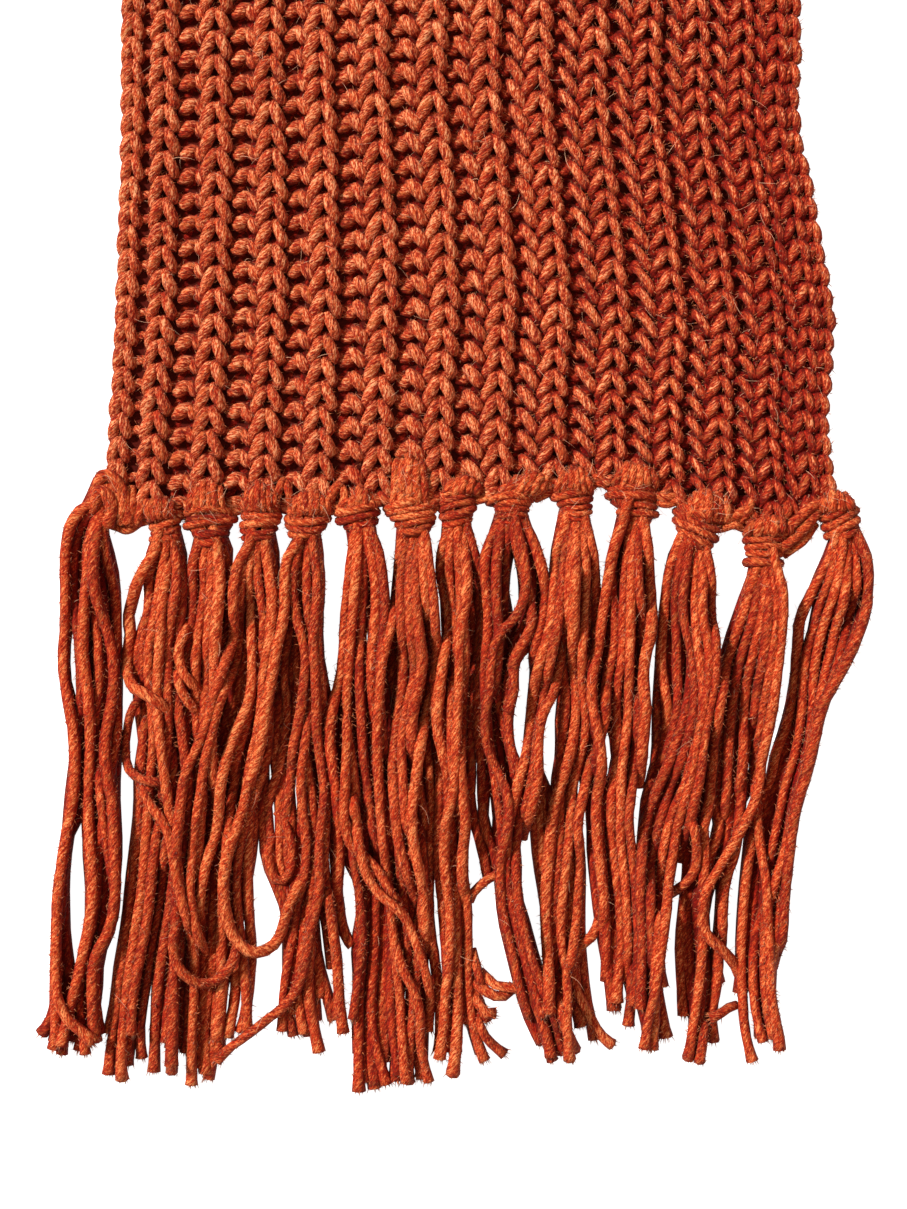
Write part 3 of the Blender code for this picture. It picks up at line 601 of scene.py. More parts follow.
              (760, 755), (757, 780), (752, 800), (744, 818), (736, 835), (724, 855), (712, 872),
              (703, 890), (700, 910), (703, 930), (714, 942), (725, 953), (734, 965), (738, 980))),
        ("l", ((738, 1006), (728, 1009), (718, 1014), (711, 1020))),
        ("l", ((706, 1010), (702, 1034), (699, 1058))),
    ),
    (   # tail 14
        ("u", ((836, 545), (830, 600), (818, 650), (806, 700), (800, 750), (786, 800), (776, 850),
              (770, 900), (764, 950), (758, 1000), (760, 1040))),
        ("u", ((848, 545), (846, 600), (832, 650), (820, 700), (812, 750), (796, 800), (784, 850),
              (776, 900), (770, 950), (766, 1000), (770, 1030))),
        ("o", ((832, 545), (823, 570), (812, 592), (805, 612), (799, 635), (796, 660), (794, 685),
              (791, 705), (785, 728), (777, 748), (769, 768), (763, 790), (757, 815), (752, 840),
              (747, 870), (744, 900), (742, 930), (741, 960), (742, 990), (745, 1020), (749, 1045),
              (751, 1066))),
        ("o", ((835, 545), (829, 572), (822, 595), (815, 618), (808, 640), (804, 662), (802, 690),
              (801, 715), (798, 740), (791, 765), (784, 785), (779, 810), (772, 840), (768, 870),
              (764, 900), (757, 930), (753, 960), (753, 990), (756, 1015), (761, 1042))),
        ("o", ((840, 545), (835, 575), (829, 600), (822, 625), (816, 650), (812, 675), (812, 700),
              (810, 720), (806, 745), (803, 770), (798, 790), (794, 812), (790, 830), (785, 860),
              (785, 890), (783, 920), (781, 945), (776, 968))),
        ("o", ((846, 544), (843, 575), (838, 605), (833, 632), (828, 655), (822, 680), (820, 705),
              (816, 730), (811, 755), (806, 780), (800, 800), (794, 818), (782, 840), (779, 870),
              (777, 900), (773, 930), (769, 955), (768, 985), (772, 1010), (778, 1036))),
        ("o", ((852, 544), (853, 575), (850, 605), (845, 630), (838, 650), (832, 670), (826, 690),
              (820, 712), (815, 735), (812, 755), (803, 785), (795, 810), (784, 835), (776, 860),
              (768, 890), (763, 920), (761, 950), (762, 980), (764, 1005), (771, 1030))),
        ("o", ((857, 540), (864, 560), (864, 590), (860, 612), (854, 632), (846, 650), (838, 672),
              (830, 695), (823, 718), (817, 742), (811, 765), (804, 785), (797, 812), (789, 838),
              (782, 870), (780, 905), (779, 940), (775, 966))),
        ("o", ((856, 534), (866, 552), (867, 580), (863, 605), (857, 628), (849, 646), (840, 668),
              (832, 690), (826, 708), (818, 728))),
    ),
)

FAR_TASSELS, FAR_FIRST_X, FAR_LAST_X = 14, -100.6, 100.2
FAR_KNOT_DROP, FAR_TIP_DROP, FAR_TIP_UNEVEN, FAR_REACH = 7.6, 184.0, 6.0, 190.0


def grid_x(u):
    return (u - 452.5) * U


def grid_y(v):
    return NEAR_HEM_Y - (v - 480.0) * U


# ------------------------------------------------------------- curve and tube
def through(points, steps):
    """Smooth curve through the rows of points, with steps to a span."""
    p = np.asarray(points, float)
    p = np.vstack([2 * p[0] - p[1], p, 2 * p[-1] - p[-2]])
    a, b, c, d = (q[:, None, :] for q in (p[:-3], p[1:-2], p[2:-1], p[3:]))
    t = (np.arange(steps) / steps)[None, :, None]
    out = 0.5 * (2 * b + (c - a) * t + (2 * a - 5 * b + 4 * c - d) * t**2
                 + (3 * b - a - 3 * c + d) * t**3)
    return np.vstack([out.reshape(-1, p.shape[1]), p[-2:-1]])


def evenly(path, step, axes=2):
    """The same line with a point about every step along it."""
    s = np.concatenate([[0], np.cumsum(np.linalg.norm(np.diff(path[:, :axes], axis=0), axis=1))])
    n = max(3, int(round(s[-1] / step)) + 1)
    at = np.linspace(0, s[-1], n)
    return np.stack([np.interp(at, s, path[:, k]) for k in range(path.shape[1])], axis=1)


def line(keys, at):
    keys = np.asarray(keys, float)
    return np.interp(at, keys[:, 0], keys[:, 1])


def frames(path):
    """Unit tangent and two normals that don't twist about it."""
    t = np.gradient(path, axis=0)
    t /= np.maximum(np.linalg.norm(t, axis=1, keepdims=True), 1e-9)
    x, y, z = -t[0, 1], t[0, 0], 0.0
    if abs(x) + abs(y) < 1e-3:
        x, y = 1.0, 0.0
    normals = []
    for tx, ty, tz in t.tolist():
        d = x * tx + y * ty + z * tz
        x, y, z = x - d * tx, y - d * ty, z - d * tz
        n = math.sqrt(x * x + y * y + z * z) or 1.0
        x, y, z = x / n, y / n, z / n
        normals.append((x, y, z))
    n1 = np.array(normals)
    return t, n1, np.cross(t, n1)


HAIRY = []                         # strands that shed hairs, as laid
ENDS = []                          # their cut ends: place, way and radius


class Yarns:
    """Tubes of yarn that are gathered into one mesh. Each point also keeps its
    place in its own strand, which the material's fibres follow."""

    def __init__(self, name):
        self.name = name
        self.co, self.quads, self.tris, self.yarn, self.strand, self.open, self.up = [], [], [], [], [], [], []
        self.count = 0

    def tube(self, path, radius, sides, mark, lobes=0.0, start=0.0, floor=0.06, painted_lit=None, hairy=False):
        n = len(path)
        if hairy:
            HAIRY.append((path, float(np.mean(radius))))
        _, n1, n2 = frames(path)
        s = start + np.concatenate([[0], np.cumsum(np.linalg.norm(np.diff(path, axis=0), axis=1))])
        phi = np.arange(sides) * TAU / sides
        r = np.broadcast_to(np.asarray(radius, float), (n,))[:, None] * (
            1 + lobes * np.cos(2 * (phi[None, :] - TAU * s[:, None] / LAY)))
        c, k = np.cos(phi)[None, :, None], np.sin(phi)[None, :, None]
        ring = path[:, None, :] + r[..., None] * (c * n1[:, None, :] + k * n2[:, None, :])
        ring[..., 2] = np.maximum(ring[..., 2], floor)
        place = np.stack([r * np.cos(phi), r * np.sin(phi), np.broadcast_to(s[:, None], r.shape)], axis=2)
        base = self.count
        i = np.arange(n - 1)[:, None] * sides
        j = np.arange(sides)[None, :]
        a, b = base + i + j, base + i + (j + 1) % sides
        self.quads.append(np.stack([a, b, b + sides, a + sides], axis=2).reshape(-1, 4))
        ends = np.array([path[0], path[-1]])
        ends[:, 2] = np.maximum(ends[:, 2], floor)
        tip0, tip1 = base + n * sides, base + n * sides + 1
        j = np.arange(sides)
        self.tris.append(np.stack([np.full(sides, tip0), base + (j + 1) % sides, base + j], axis=1))
        last = base + (n - 1) * sides
        self.tris.append(np.stack([np.full(sides, tip1), last + j, last + (j + 1) % sides], axis=1))
        self.co.append(np.vstack([ring.reshape(-1, 3), ends]))
        self.yarn.append(np.vstack([place.reshape(-1, 3), [[0, 0, s[0]], [0, 0, s[-1]]]]))
        up = (c * n1[:, None, :] + k * n2[:, None, :])[..., 2]
        out = painted_light_level(ring[..., 0], ring[..., 2], up, painted_lit).ravel()
        self.open.append(np.concatenate([out, [out[0], out[-1]]]))
        self.up.append(np.concatenate([up.ravel(), [0.5, 0.5]]))
        self.strand.append(np.full(n * sides + 2, mark))
        self.count += n * sides + 2

    def ring(self, path, radius, sides, mark, floor=0.06, painted_lit=0.6):
        """A closed turn of yarn."""
        n = len(path)
        t = np.roll(path, -1, axis=0) - np.roll(path, 1, axis=0)
        t /= np.linalg.norm(t, axis=1, keepdims=True)
        away = path - path.mean(axis=0)
        n1 = away - (away * t).sum(axis=1, keepdims=True) * t
        n1 /= np.maximum(np.linalg.norm(n1, axis=1, keepdims=True), 1e-9)
        n2 = np.cross(t, n1)
        s = np.concatenate([[0], np.cumsum(np.linalg.norm(np.diff(path, axis=0), axis=1))])
        phi = np.arange(sides) * TAU / sides
        r = np.broadcast_to(np.asarray(radius, float), (n,))[:, None] * np.ones((1, sides))
        c, k = np.cos(phi)[None, :, None], np.sin(phi)[None, :, None]
        ring = path[:, None, :] + r[..., None] * (c * n1[:, None, :] + k * n2[:, None, :])
        ring[..., 2] = np.maximum(ring[..., 2], floor)
        place = np.stack([r * np.cos(phi), r * np.sin(phi), np.broadcast_to(s[:, None], r.shape)], axis=2)
        base = self.count
        i = np.arange(n)[:, None]
        j = np.arange(sides)[None, :]
        a, b = base + i * sides + j, base + i * sides + (j + 1) % sides
        e, f = base + ((i + 1) % n) * sides + j, base + ((i + 1) % n) * sides + (j + 1) % sides
        self.quads.append(np.stack([a, b, f, e], axis=2).reshape(-1, 4))
        self.co.append(ring.reshape(-1, 3))
        self.yarn.append(place.reshape(-1, 3))
        up = (c * n1[:, None, :] + k * n2[:, None, :])[..., 2]
        self.open.append(painted_light_level(ring[..., 0], ring[..., 2], up, painted_lit).ravel())
        self.up.append(up.ravel())
        self.strand.append(np.full(n * sides, mark))
        self.count += n * sides

    def shade(self, around, fall, knit=False):
        """Paints shade on what lies lower than the wool round it, through its open values. In the knit these are set
        afresh on the front half: faces that look up get painted light, and hollows and the right side painted shade.
        """
        for k, co in enumerate(self.co):
            x, y, z = co.T
            over = (z - around.at(x, y)) / fall
            if knit:
                painted_right_shade = 0.27 * np.clip((x - 0.0) / 90.0, 0, 1)
                front = 0.52 + 0.30 * self.up[k] + np.clip(over, -0.6, 0.34) - painted_right_shade
                self.open[k] = np.where(z > Z_MID - 1, np.clip(front, 0, 1), self.open[k])
            else:
                self.open[k] = np.clip(self.open[k] + np.clip(over, -0.36, 0.20), 0, 1)

    def build(self, material, slot):
        obj = mesh_object(self.name, np.vstack(self.co), np.vstack(self.quads),
                          np.vstack(self.tris) if self.tris else np.zeros((0, 3), int), material)
        at = obj.data.attributes.new("yarn", "FLOAT_VECTOR", "POINT")
        at.data.foreach_set("vector", np.vstack(self.yarn).astype(np.float32).ravel())
        at = obj.data.attributes.new("strand", "FLOAT", "POINT")
        at.data.foreach_set("value", np.concatenate(self.strand).astype(np.float32))
        at = obj.data.attributes.new("open", "FLOAT", "POINT")
        at.data.foreach_set("value", np.concatenate(self.open).astype(np.float32))
        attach(obj, "root")
        return obj


class Pile:
    """Height of what has been laid so far, on a half-millimetre grid."""

    def __init__(self, x0, x1, y0, y1, cell=0.5):
        self.x0, self.y0, self.cell = x0, y0, cell
        self.h = np.zeros((int((x1 - x0) / cell) + 1, int((y1 - y0) / cell) + 1))

    def at(self, x, y):
        i = np.clip(np.round((x - self.x0) / self.cell).astype(int), 0, self.h.shape[0] - 1)
        j = np.clip(np.round((y - self.y0) / self.cell).astype(int), 0, self.h.shape[1] - 1)
        return self.h[i, j]

    def spread(self, reach):
        """Mean height round every place."""
        k = int(reach / self.cell)
        h = self.h
        for _ in range(2):
            for axis in (0, 1):
                wide = np.pad(h, [(k + 1, k) if a == axis else (0, 0) for a in (0, 1)], mode="edge").cumsum(axis)
                ends = np.take(wide, range(2 * k + 1, wide.shape[axis]), axis)
                h = (ends - np.take(wide, range(0, wide.shape[axis] - 2 * k - 1), axis)) / (2 * k + 1)
        made = Pile.__new__(Pile)
        made.x0, made.y0, made.cell, made.h = self.x0, self.y0, self.cell, h
        return made

    def rest(self, path, r):
        """Height of a strand's middle where it lies on the pile."""
        t = np.gradient(path[:, :2], axis=0)
        t /= np.maximum(np.linalg.norm(t, axis=1, keepdims=True), 1e-9)
        z = np.full(len(path), r)
        for d in (-0.8, -0.45, 0.0, 0.45, 0.8):
            x = path[:, 0] - t[:, 1] * d * r
            y = path[:, 1] + t[:, 0] * d * r
            h = self.at(x, y)
            z = np.maximum(z, np.where(h > 0, h + r * (math.sqrt(1 - d * d) - 0.25), r))
        return z

    def add(self, path, z, r):
        k = int(math.ceil(r / self.cell))
        reach = r * 0.9
        for di in range(-k, k + 1):
            for dj in range(-k, k + 1):
                x, y = path[:, 0] + di * self.cell, path[:, 1] + dj * self.cell
                d2 = (di * di + dj * dj) * self.cell**2
                if d2 >= reach * reach:
                    continue
                i = np.round((x - self.x0) / self.cell).astype(int)
                j = np.round((y - self.y0) / self.cell).astype(int)
                ok = (i >= 0) & (j >= 0) & (i < self.h.shape[0]) & (j < self.h.shape[1])
                np.maximum.at(self.h, (i[ok], j[ok]), (z + math.sqrt(r * r - d2) - 0.12 * r)[ok])


def painted_light_level(x, z, up, painted_lit):
    """How much painted light a point of the yarn gets: 0 takes the full painted
    shade of the deep inside of the wool, 1 lies on its outside. Faces that look
    up, or in the knit out from its middle, are painted lighter. In the knit both
    faces are outsides, and the ribs turn a little away towards the right edge,
    so that side is painted darker."""
    if painted_lit is None:
        painted_right_shade = 0.15 * np.clip((x - 10.0) / 90.0, 0, 1)
        return np.clip(0.5 + (z - Z_MID) / U * up / 16 - painted_right_shade, 0, 1)
    return np.clip(painted_lit - 0.16 + 0.56 * up, 0, 1)


def mesh_object(name, co, quads, tris, material):
    mesh = bpy.data.meshes.new(name)
    mesh.vertices.add(len(co))
    mesh.vertices.foreach_set("co", (co * MM).astype(np.float32).ravel())
    corners = np.concatenate([quads.ravel(), tris.ravel()]).astype(np.int32)
    starts = np.concatenate([np.arange(len(quads)) * 4, len(quads) * 4 + np.arange(len(tris)) * 3])
    mesh.loops.add(len(corners))
    mesh.loops.foreach_set("vertex_index", corners)
    mesh.polygons.add(len(starts))
    mesh.polygons.foreach_set("loop_start", starts.astype(np.int32))
    mesh.update(calc_edges=True)
    mesh.polygons.foreach_set("use_smooth", np.ones(len(starts), bool))
    mesh.materials.append(material)
    obj = bpy.data.objects.new(name, mesh)
    bpy.context.scene.collection.objects.link(obj)
    return obj


# ------------------------------------------------------------------ materials
def wool(name, dark, low, mid, high, glow, vary, bump=1.0, shade=(0.12, 0.80), contrast=0.90):
    """Heathered, softly twisted wool. The fibres run round the strand at the yarn's
    own twist, and the colours differ from fibre to fibre. Light and shade are
    painted into the colour from the open attribute."""
    material = bpy.data.materials.new(name)
    material.use_nodes = True
    tree = material.node_tree
    nodes, links = tree.nodes, tree.links
    nodes.clear()

    def node(kind, **values):
        made = nodes.new(kind)
        for key, value in values.items():
            setattr(made, key, value)
        return made

    def maths(op, a, b=None, c=None):
        made = node("ShaderNodeMath", operation=op)
        for socket, value in zip(made.inputs, (a, b, c)):
            if value is None:
                continue
            if isinstance(value, (int, float)):
                socket.default_value = value
            else:
                links.new(value, socket)
        return made.outputs[0]

    def noise(vector, scale, detail=2.0, rough=0.5, distortion=0.0):
        made = node("ShaderNodeTexNoise", noise_dimensions="3D")
        made.inputs["Scale"].default_value = scale
        made.inputs["Detail"].default_value = detail
        made.inputs["Roughness"].default_value = rough
        made.inputs["Distortion"].default_value = distortion
        links.new(vector, made.inputs["Vector"])
        return made.outputs["Fac"]

    def spread(value, low_at, high_at, to_low=0.0, to_high=1.0):
        made = node("ShaderNodeMapRange")
        for key, number in zip(("From Min", "From Max", "To Min", "To Max"),
                               (low_at, high_at, to_low, to_high)):
            made.inputs[key].default_value = number
        links.new(value, made.inputs["Value"])
        return made.outputs["Result"]

    place = node("ShaderNodeAttribute", attribute_name="yarn").outputs["Vector"]
    mark = node("ShaderNodeAttribute", attribute_name="strand").outputs["Fac"]
    painted_lit = node("ShaderNodeAttribute", attribute_name="open").outputs["Fac"]
    split = node("ShaderNodeSeparateXYZ")
    links.new(place, split.inputs[0])
    x, y, s = split.outputs
    turn = maths("MULTIPLY", s, -TAU / LAY)
    rotate = node("ShaderNodeVectorRotate", rotation_type="Z_AXIS")
    links.new(place, rotate.inputs["Vector"])
    links.new(turn, rotate.inputs["Angle"])
    round_ = node("ShaderNodeSeparateXYZ")
    links.new(rotate.outputs[0], round_.inputs[0])
    offset = maths("MULTIPLY", mark, 173.0)

    def fibre_space(along):
        joined = node("ShaderNodeCombineXYZ")
        links.new(maths("ADD", round_.outputs[0], offset), joined.inputs[0])
        links.new(round_.outputs[1], joined.inputs[1])
        links.new(maths("MULTIPLY", s, along), joined.inputs[2])
        return joined.outputs[0]

    fine = noise(fibre_space(0.42), 1.95, 2.0, 0.62)
    grain = noise(fibre_space(0.85), 1.85, 1.0, 0.55)
    streak = noise(fibre_space(0.12), 1.5, 1.0, 0.5)
    heather = noise(fibre_space(0.34), 0.62, 2.0, 0.55)
    slow = noise(fibre_space(0.05), 0.8, 0.0, 0.5)

    # Single fibres curl over the surface, with dark gaps between. The pale curls are painted glints and the gaps
    # painted shade; both also raise the bump.
    def curls(along, scale, width, bend):
        away = maths("ABSOLUTE", maths("SUBTRACT", noise(fibre_space(along), scale, 1.0, 0.6, bend), 0.5))
        return spread(away, 0.0, width, 1.0, 0.0)

    fibre_glints = maths("MAXIMUM", curls(0.45, 1.15, 0.050, 0.5), curls(0.85, 0.95, 0.040, 0.9))
    pits = curls(0.65, 1.30, 0.080, 0.4)

    # Two plies: a soft groove runs round the strand between them.
    angle = maths("ARCTAN2", round_.outputs[1], round_.outputs[0])
    ply = maths("ABSOLUTE", maths("COSINE", angle))
    groove = spread(ply, 0.0, 0.55)

    tone = maths("ADD", maths("MULTIPLY", fine, 0.60), maths("MULTIPLY", streak, 0.10))
    tone = maths("ADD", tone, maths("MULTIPLY", grain, 0.30))
    tone = maths("ADD", maths("MULTIPLY", tone, contrast), 0.5 * (1 - contrast) + 0.002)
    tone = maths("ADD", tone, maths("MULTIPLY", maths("SUBTRACT", slow, 0.5), 0.22))
    tone = maths("ADD", tone, maths("MULTIPLY", maths("SUBTRACT", mark, 0.5), vary))
    # Painted light and shade: open tops get a lighter tone, hollows a darker one.
    tone = maths("ADD", tone, maths("MULTIPLY", maths("SUBTRACT", painted_lit, 0.7), 0.14))
    ramp = node("ShaderNodeValToRGB")
    stops = ((0.39, dark), (0.46, low), (0.52, mid), (0.585, high), (0.66, glow))
    ramp.color_ramp.elements[0].position, ramp.color_ramp.elements[0].color = stops[0][0], (*stops[0][1], 1)
    ramp.color_ramp.elements[1].position, ramp.color_ramp.elements[1].color = stops[-1][0], (*stops[-1][1], 1)
    for at, colour in stops[1:-1]:
        ramp.color_ramp.elements.new(at).color = (*colour, 1)
    links.new(tone, ramp.inputs["Fac"])
    colour = ramp.outputs["Color"]

    def blend(kind, fac, a, b):
        made = node("ShaderNodeMix", data_type="RGBA", blend_type=kind)
        links.new(fac, made.inputs[0]) if not isinstance(fac, float) else setattr(made.inputs[0], "default_value", fac)
        for socket, value in ((made.inputs[6], a), (made.inputs[7], b)):
            if isinstance(value, tuple):
                socket.default_value = (*value, 1)
            else:
                links.new(value, socket)
        return made.outputs[2]

    # Painted shade in the gaps between the fibres.
    colour = blend("MIX", maths("MULTIPLY", pits, spread(grain, 0.62, 0.42, 0.20, 0.85)), colour, (0.13, 0.006, 0.002))
    # Painted glints on the curling fibres, strongest on the open tops.
    fibre_glints = maths("MULTIPLY", fibre_glints, spread(painted_lit, 0.45, 1.0, 0.10, 1.10))
    colour = blend("MIX", maths("MULTIPLY", fibre_glints, spread(fine, 0.44, 0.60, 0.05, 0.62)), colour, glow)

    # Heathered fibres: some red, some golden, a few olive brown.
    colour = blend("MIX", spread(heather, 0.56, 0.76, 0.0, 0.45), colour, (0.52, 0.030, 0.010))
    colour = blend("MIX", spread(heather, 0.44, 0.26, 0.0, 0.50), colour, (0.58, 0.15, 0.035))
    fleck = noise(fibre_space(0.16), 3.1, 1.0, 0.5)
    colour = blend("MIX", spread(fleck, 0.68, 0.80, 0.0, 0.7), colour, (0.16, 0.085, 0.02))
    # Painted shade along the groove between the plies.
    colour = blend("MIX", spread(groove, 0.0, 1.0, 0.16, 0.0), colour, (0.20, 0.022, 0.006))

    # Painted shade: where the open attribute is low, deep in the wool, the colour is darkened to a deep red.
    deep = blend("MULTIPLY", 1.0, colour, (0.66, 0.032, 0.011))
    colour = blend("MIX", spread(painted_lit, *shade), deep, colour)

    shader = node("ShaderNodeBsdfPrincipled")
    links.new(colour, shader.inputs["Base Color"])
    shader.inputs["Roughness"].default_value = 0.92
    shader.inputs["Specular IOR Level"].default_value = 0.18
    shader.inputs["Sheen Weight"].default_value = 0.11
    shader.inputs["Sheen Roughness"].default_value = 0.45
    shader.inputs["Sheen Tint"].default_value = (1.0, 0.42, 0.24, 1.0)
    height = maths("ADD", maths("ADD", maths("MULTIPLY", groove, 0.10), maths("MULTIPLY", maths("SUBTRACT", fibre_glints, pits), 0.12)),
                   maths("ADD", maths("MULTIPLY", fine, 0.55), maths("MULTIPLY", grain, 0.35)))
    bumps = node("ShaderNodeBump")
    bumps.inputs["Strength"].default_value = 0.9
    bumps.inputs["Distance"].default_value = 0.0008 * bump
    links.new(height, bumps.inputs["Height"])
    links.new(bumps.outputs["Normal"], shader.inputs["Normal"])
    out = node("ShaderNodeOutputMaterial")
    links.new(shader.outputs["BSDF"], out.inputs["Surface"])
    return material


def plain(name, colour, roughness, sheen=0.0, scale=900.0, vary=0.3):
    material = bpy.data.materials.new(name)
    material.use_nodes = True
    tree = material.node_tree
    shader = tree.nodes["Principled BSDF"]
    shader.inputs["Base Color"].default_value = (*colour, 1)
    shader.inputs["Roughness"].default_value = roughness
    shader.inputs["Specular IOR Level"].default_value = 0.2
    shader.inputs["Sheen Weight"].default_value = sheen
    texture = tree.nodes.new("ShaderNodeTexNoise")
    texture.inputs["Scale"].default_value = scale
    mix = tree.nodes.new("ShaderNodeMix")
    mix.data_type = "RGBA"
    mix.inputs[6].default_value = (*(c * (1 - vary) for c in colour), 1)
    mix.inputs[7].default_value = (*(min(1, c * (1 + 2.2 * vary * vary + 0.3 * vary)) for c in colour), 1)
    where = tree.nodes.new("ShaderNodeTexCoord")
    tree.links.new(where.outputs["Object"], texture.inputs["Vector"])
    tree.links.new(texture.outputs["Fac"], mix.inputs[0])
    tree.links.new(mix.outputs[2], shader.inputs["Base Color"])
    return material


knit_wool = wool("wool_knit", (0.14, 0.001, 0.0), (0.25, 0.005, 0.001), (0.43, 0.026, 0.004),
                 (0.73, 0.116, 0.029), (1.0, 0.44, 0.21), 0.03, 0.68)
fringe_wool = wool("wool_fringe", (0.14, 0.001, 0.0), (0.26, 0.005, 0.001), (0.43, 0.024, 0.003),
                   (0.66, 0.077, 0.015), (1.0, 0.33, 0.115), 0.10, 0.70, (-0.04, 0.72), 0.74)
# Near-black red: painted shade for the gaps between the stitches.
shade_sheet_wool = plain("wool_shade_sheet", (0.060, 0.0045, 0.0018), 1.0, 0.0, 1500.0, 0.8)
# The hairs are painted paler than the yarn: a painted highlight on hairs that catch the light.
hair_wool = plain("wool_hair", (0.86, 0.44, 0.28), 0.6)
fuzz_wool = plain("wool_fuzz", (0.56, 0.095, 0.028), 0.8, 0.2, 2600.0, 0.85)

# ------------------------------------------------------------------- the knit
def side_edges(above):
    keys = np.asarray(OUTLINE)
    return np.interp(above, keys[:, 0], keys[:, 1]), np.interp(above, keys[:, 0], keys[:, 2])


def fade(above):
    """The near end's own unevenness dies away along the scarf."""
    return 1.0 - 0.8 * np.clip((np.asarray(above) - 330.0) / 500.0, 0, 1)


def settle(x, above):
    """Height of a place in the knit, once pushed, pulled and held at the hem."""
    u = x / U + 452.5
    above = np.asarray(above, float)
    pushed = line(SLIDE, u) * (1 - (1 - np.clip(above / 150.0, 0, 1)) ** 2) * fade(above)
    v = 480.0 - above / U + pushed
    room = 12.0
    over = v - (line(EDGE, u) - 5.0 - room)
    v = np.where(over > 0, v - over + room * (1 - np.exp(-np.maximum(over, 0) / room)), v)
    return grid_y(v)


def wales():
    """Every wale from left to right: knit ones with a purl one between, except
    at the two edges, where knit lies beside knit."""
    rows = []
    last = len(KNIT_WALES) - 1
    for i, (share, phase, width, sheet) in enumerate(KNIT_WALES):
        rows.append((1, share, phase, width, sheet))
        if 0 < i < last - 1:
            nxt = KNIT_WALES[i + 1]
            rows.append((-1, (share + nxt[0]) / 2, (phase + nxt[1]) / 2, 0.86, 1.0))
    return rows


WALES = wales()


def course(i, rng, since=0.0):
    """Control points of one course, from some share of the width on: across,
    above the hem, height, thickness and share."""
    base = FIRST_COURSE + i * PITCH
    seats = []
    for side, share, phase, width, sheet in WALES:
        if share < since:
            continue
        above = base - (phase * float(fade(base)) + rng.uniform(-0.9, 0.9)) * U
        left, right = side_edges(above)
        x = left + share * (right - left) + rng.uniform(-0.7, 0.7) * U
        seats.append((side, share, x, above, width, sheet, rng.uniform(0.95, 1.06)))
    points = []

    def put(x, above, z, thick, share):
        points.append((x, above, z * U, thick, share))

    for n, (side, share, x, above, width, sheet, plump) in enumerate(seats):
        if n:
            p_side, p_share, px, p_above, p_width, p_sheet, _ = seats[n - 1]
            mid = (share + p_share) / 2
            if p_side < side:      # purl to knit: a strand slants down the flank
                unit = (x - px) / 27.3
                open_ = min(1.0, max(0.0, (share - 0.12) / 0.6))
                up = 2.2 + 4.6 * open_
                fat = float(np.interp(share, (0.15, 0.45, 0.60, 0.72), (1.10, 1.26, 1.12, 0.88)))
                top = np.array([-21.5 - 10.5 * open_, np.interp(share, (0.12, 0.50, 0.66, 0.78), (0.04, 0.20, 0.10, 0.02))])
                foot = np.array([-13.0 - 1.5 * open_, np.interp(share, (0.12, 0.50, 0.66, 0.78), (-0.42, -0.50, -0.88, -1.05))])
                for w, z, thick in ((0.0, -3.2, 0.84), (0.20, up - 1.3, 0.92 * fat), (0.55, up, fat),
                                    (0.82, up - 0.5, 0.98 * fat), (1.0, up - 3.0, 0.90)):
                    at = top * (1 - w) + foot * w
                    put(x + at[0] * unit, above + at[1] * PITCH, z, thick, mid)
                put(x - 7.5 * unit, above - 0.26 * PITCH, -1.8, 0.84, mid)
            elif p_side > side:    # knit to purl: it goes straight to the back
                put(px + 10.0 * U, p_above + 0.04 * PITCH, 0.6, 0.86, mid)
                put(x - 10.0 * U, above + 0.02 * PITCH, -1.6, 0.86, mid)
            else:
                put((px + x) / 2, (p_above + above) / 2 + 0.25 * PITCH, -0.6, 0.86, mid)
        for across, along, height, thick in LOOP:
            if height < -1:        # the bumps sink towards the right edge
                height -= (height + 1) * min(1.5, 3.6 * max(0.0, share - 0.12))
                thick *= 1.07 if side < 0 else 1.0
            if height > -1 and side > 0:
                thick *= 1 - 0.13 * min(1.0, max(0.0, (share - 0.55) / 0.15))
            put(x + across * U * width, above - along * PITCH,
                side * (SHEET * sheet + SWING * height), thick * plump, share)
    pts = np.array(points)
    # The yarn turns back at each edge into the next course.
    first, final = pts[0], pts[-1]
    lead = np.array([(first[0] - 1.0, first[1] + 3.4, first[2] - 0.2, 0.86, first[4]),
                     (first[0] - 1.5, first[1] + 1.6, first[2] - 0.6, 0.9, first[4])])
    tail = np.array([(final[0] + 1.5, final[1] + 1.6, final[2] - 0.6, 0.9, final[4]),
                     (final[0] + 1.0, final[1] + 3.4, final[2] - 0.2, 0.86, final[4])])
    return np.vstack([lead, pts, tail])


def lay_course(pts):
    """Leans the front sheet over the back one and follows the hem's wave."""
    x, above, z, w, share = pts.T
    lean = (LEAN_LEFT + (LEAN_RIGHT - LEAN_LEFT) * share) * U
    top = (SHEET + SWING) * U
    x = x - lean * (1 - z / top) * 0.5
    return np.stack([x, settle(x, above), z + Z_MID, w], axis=1)


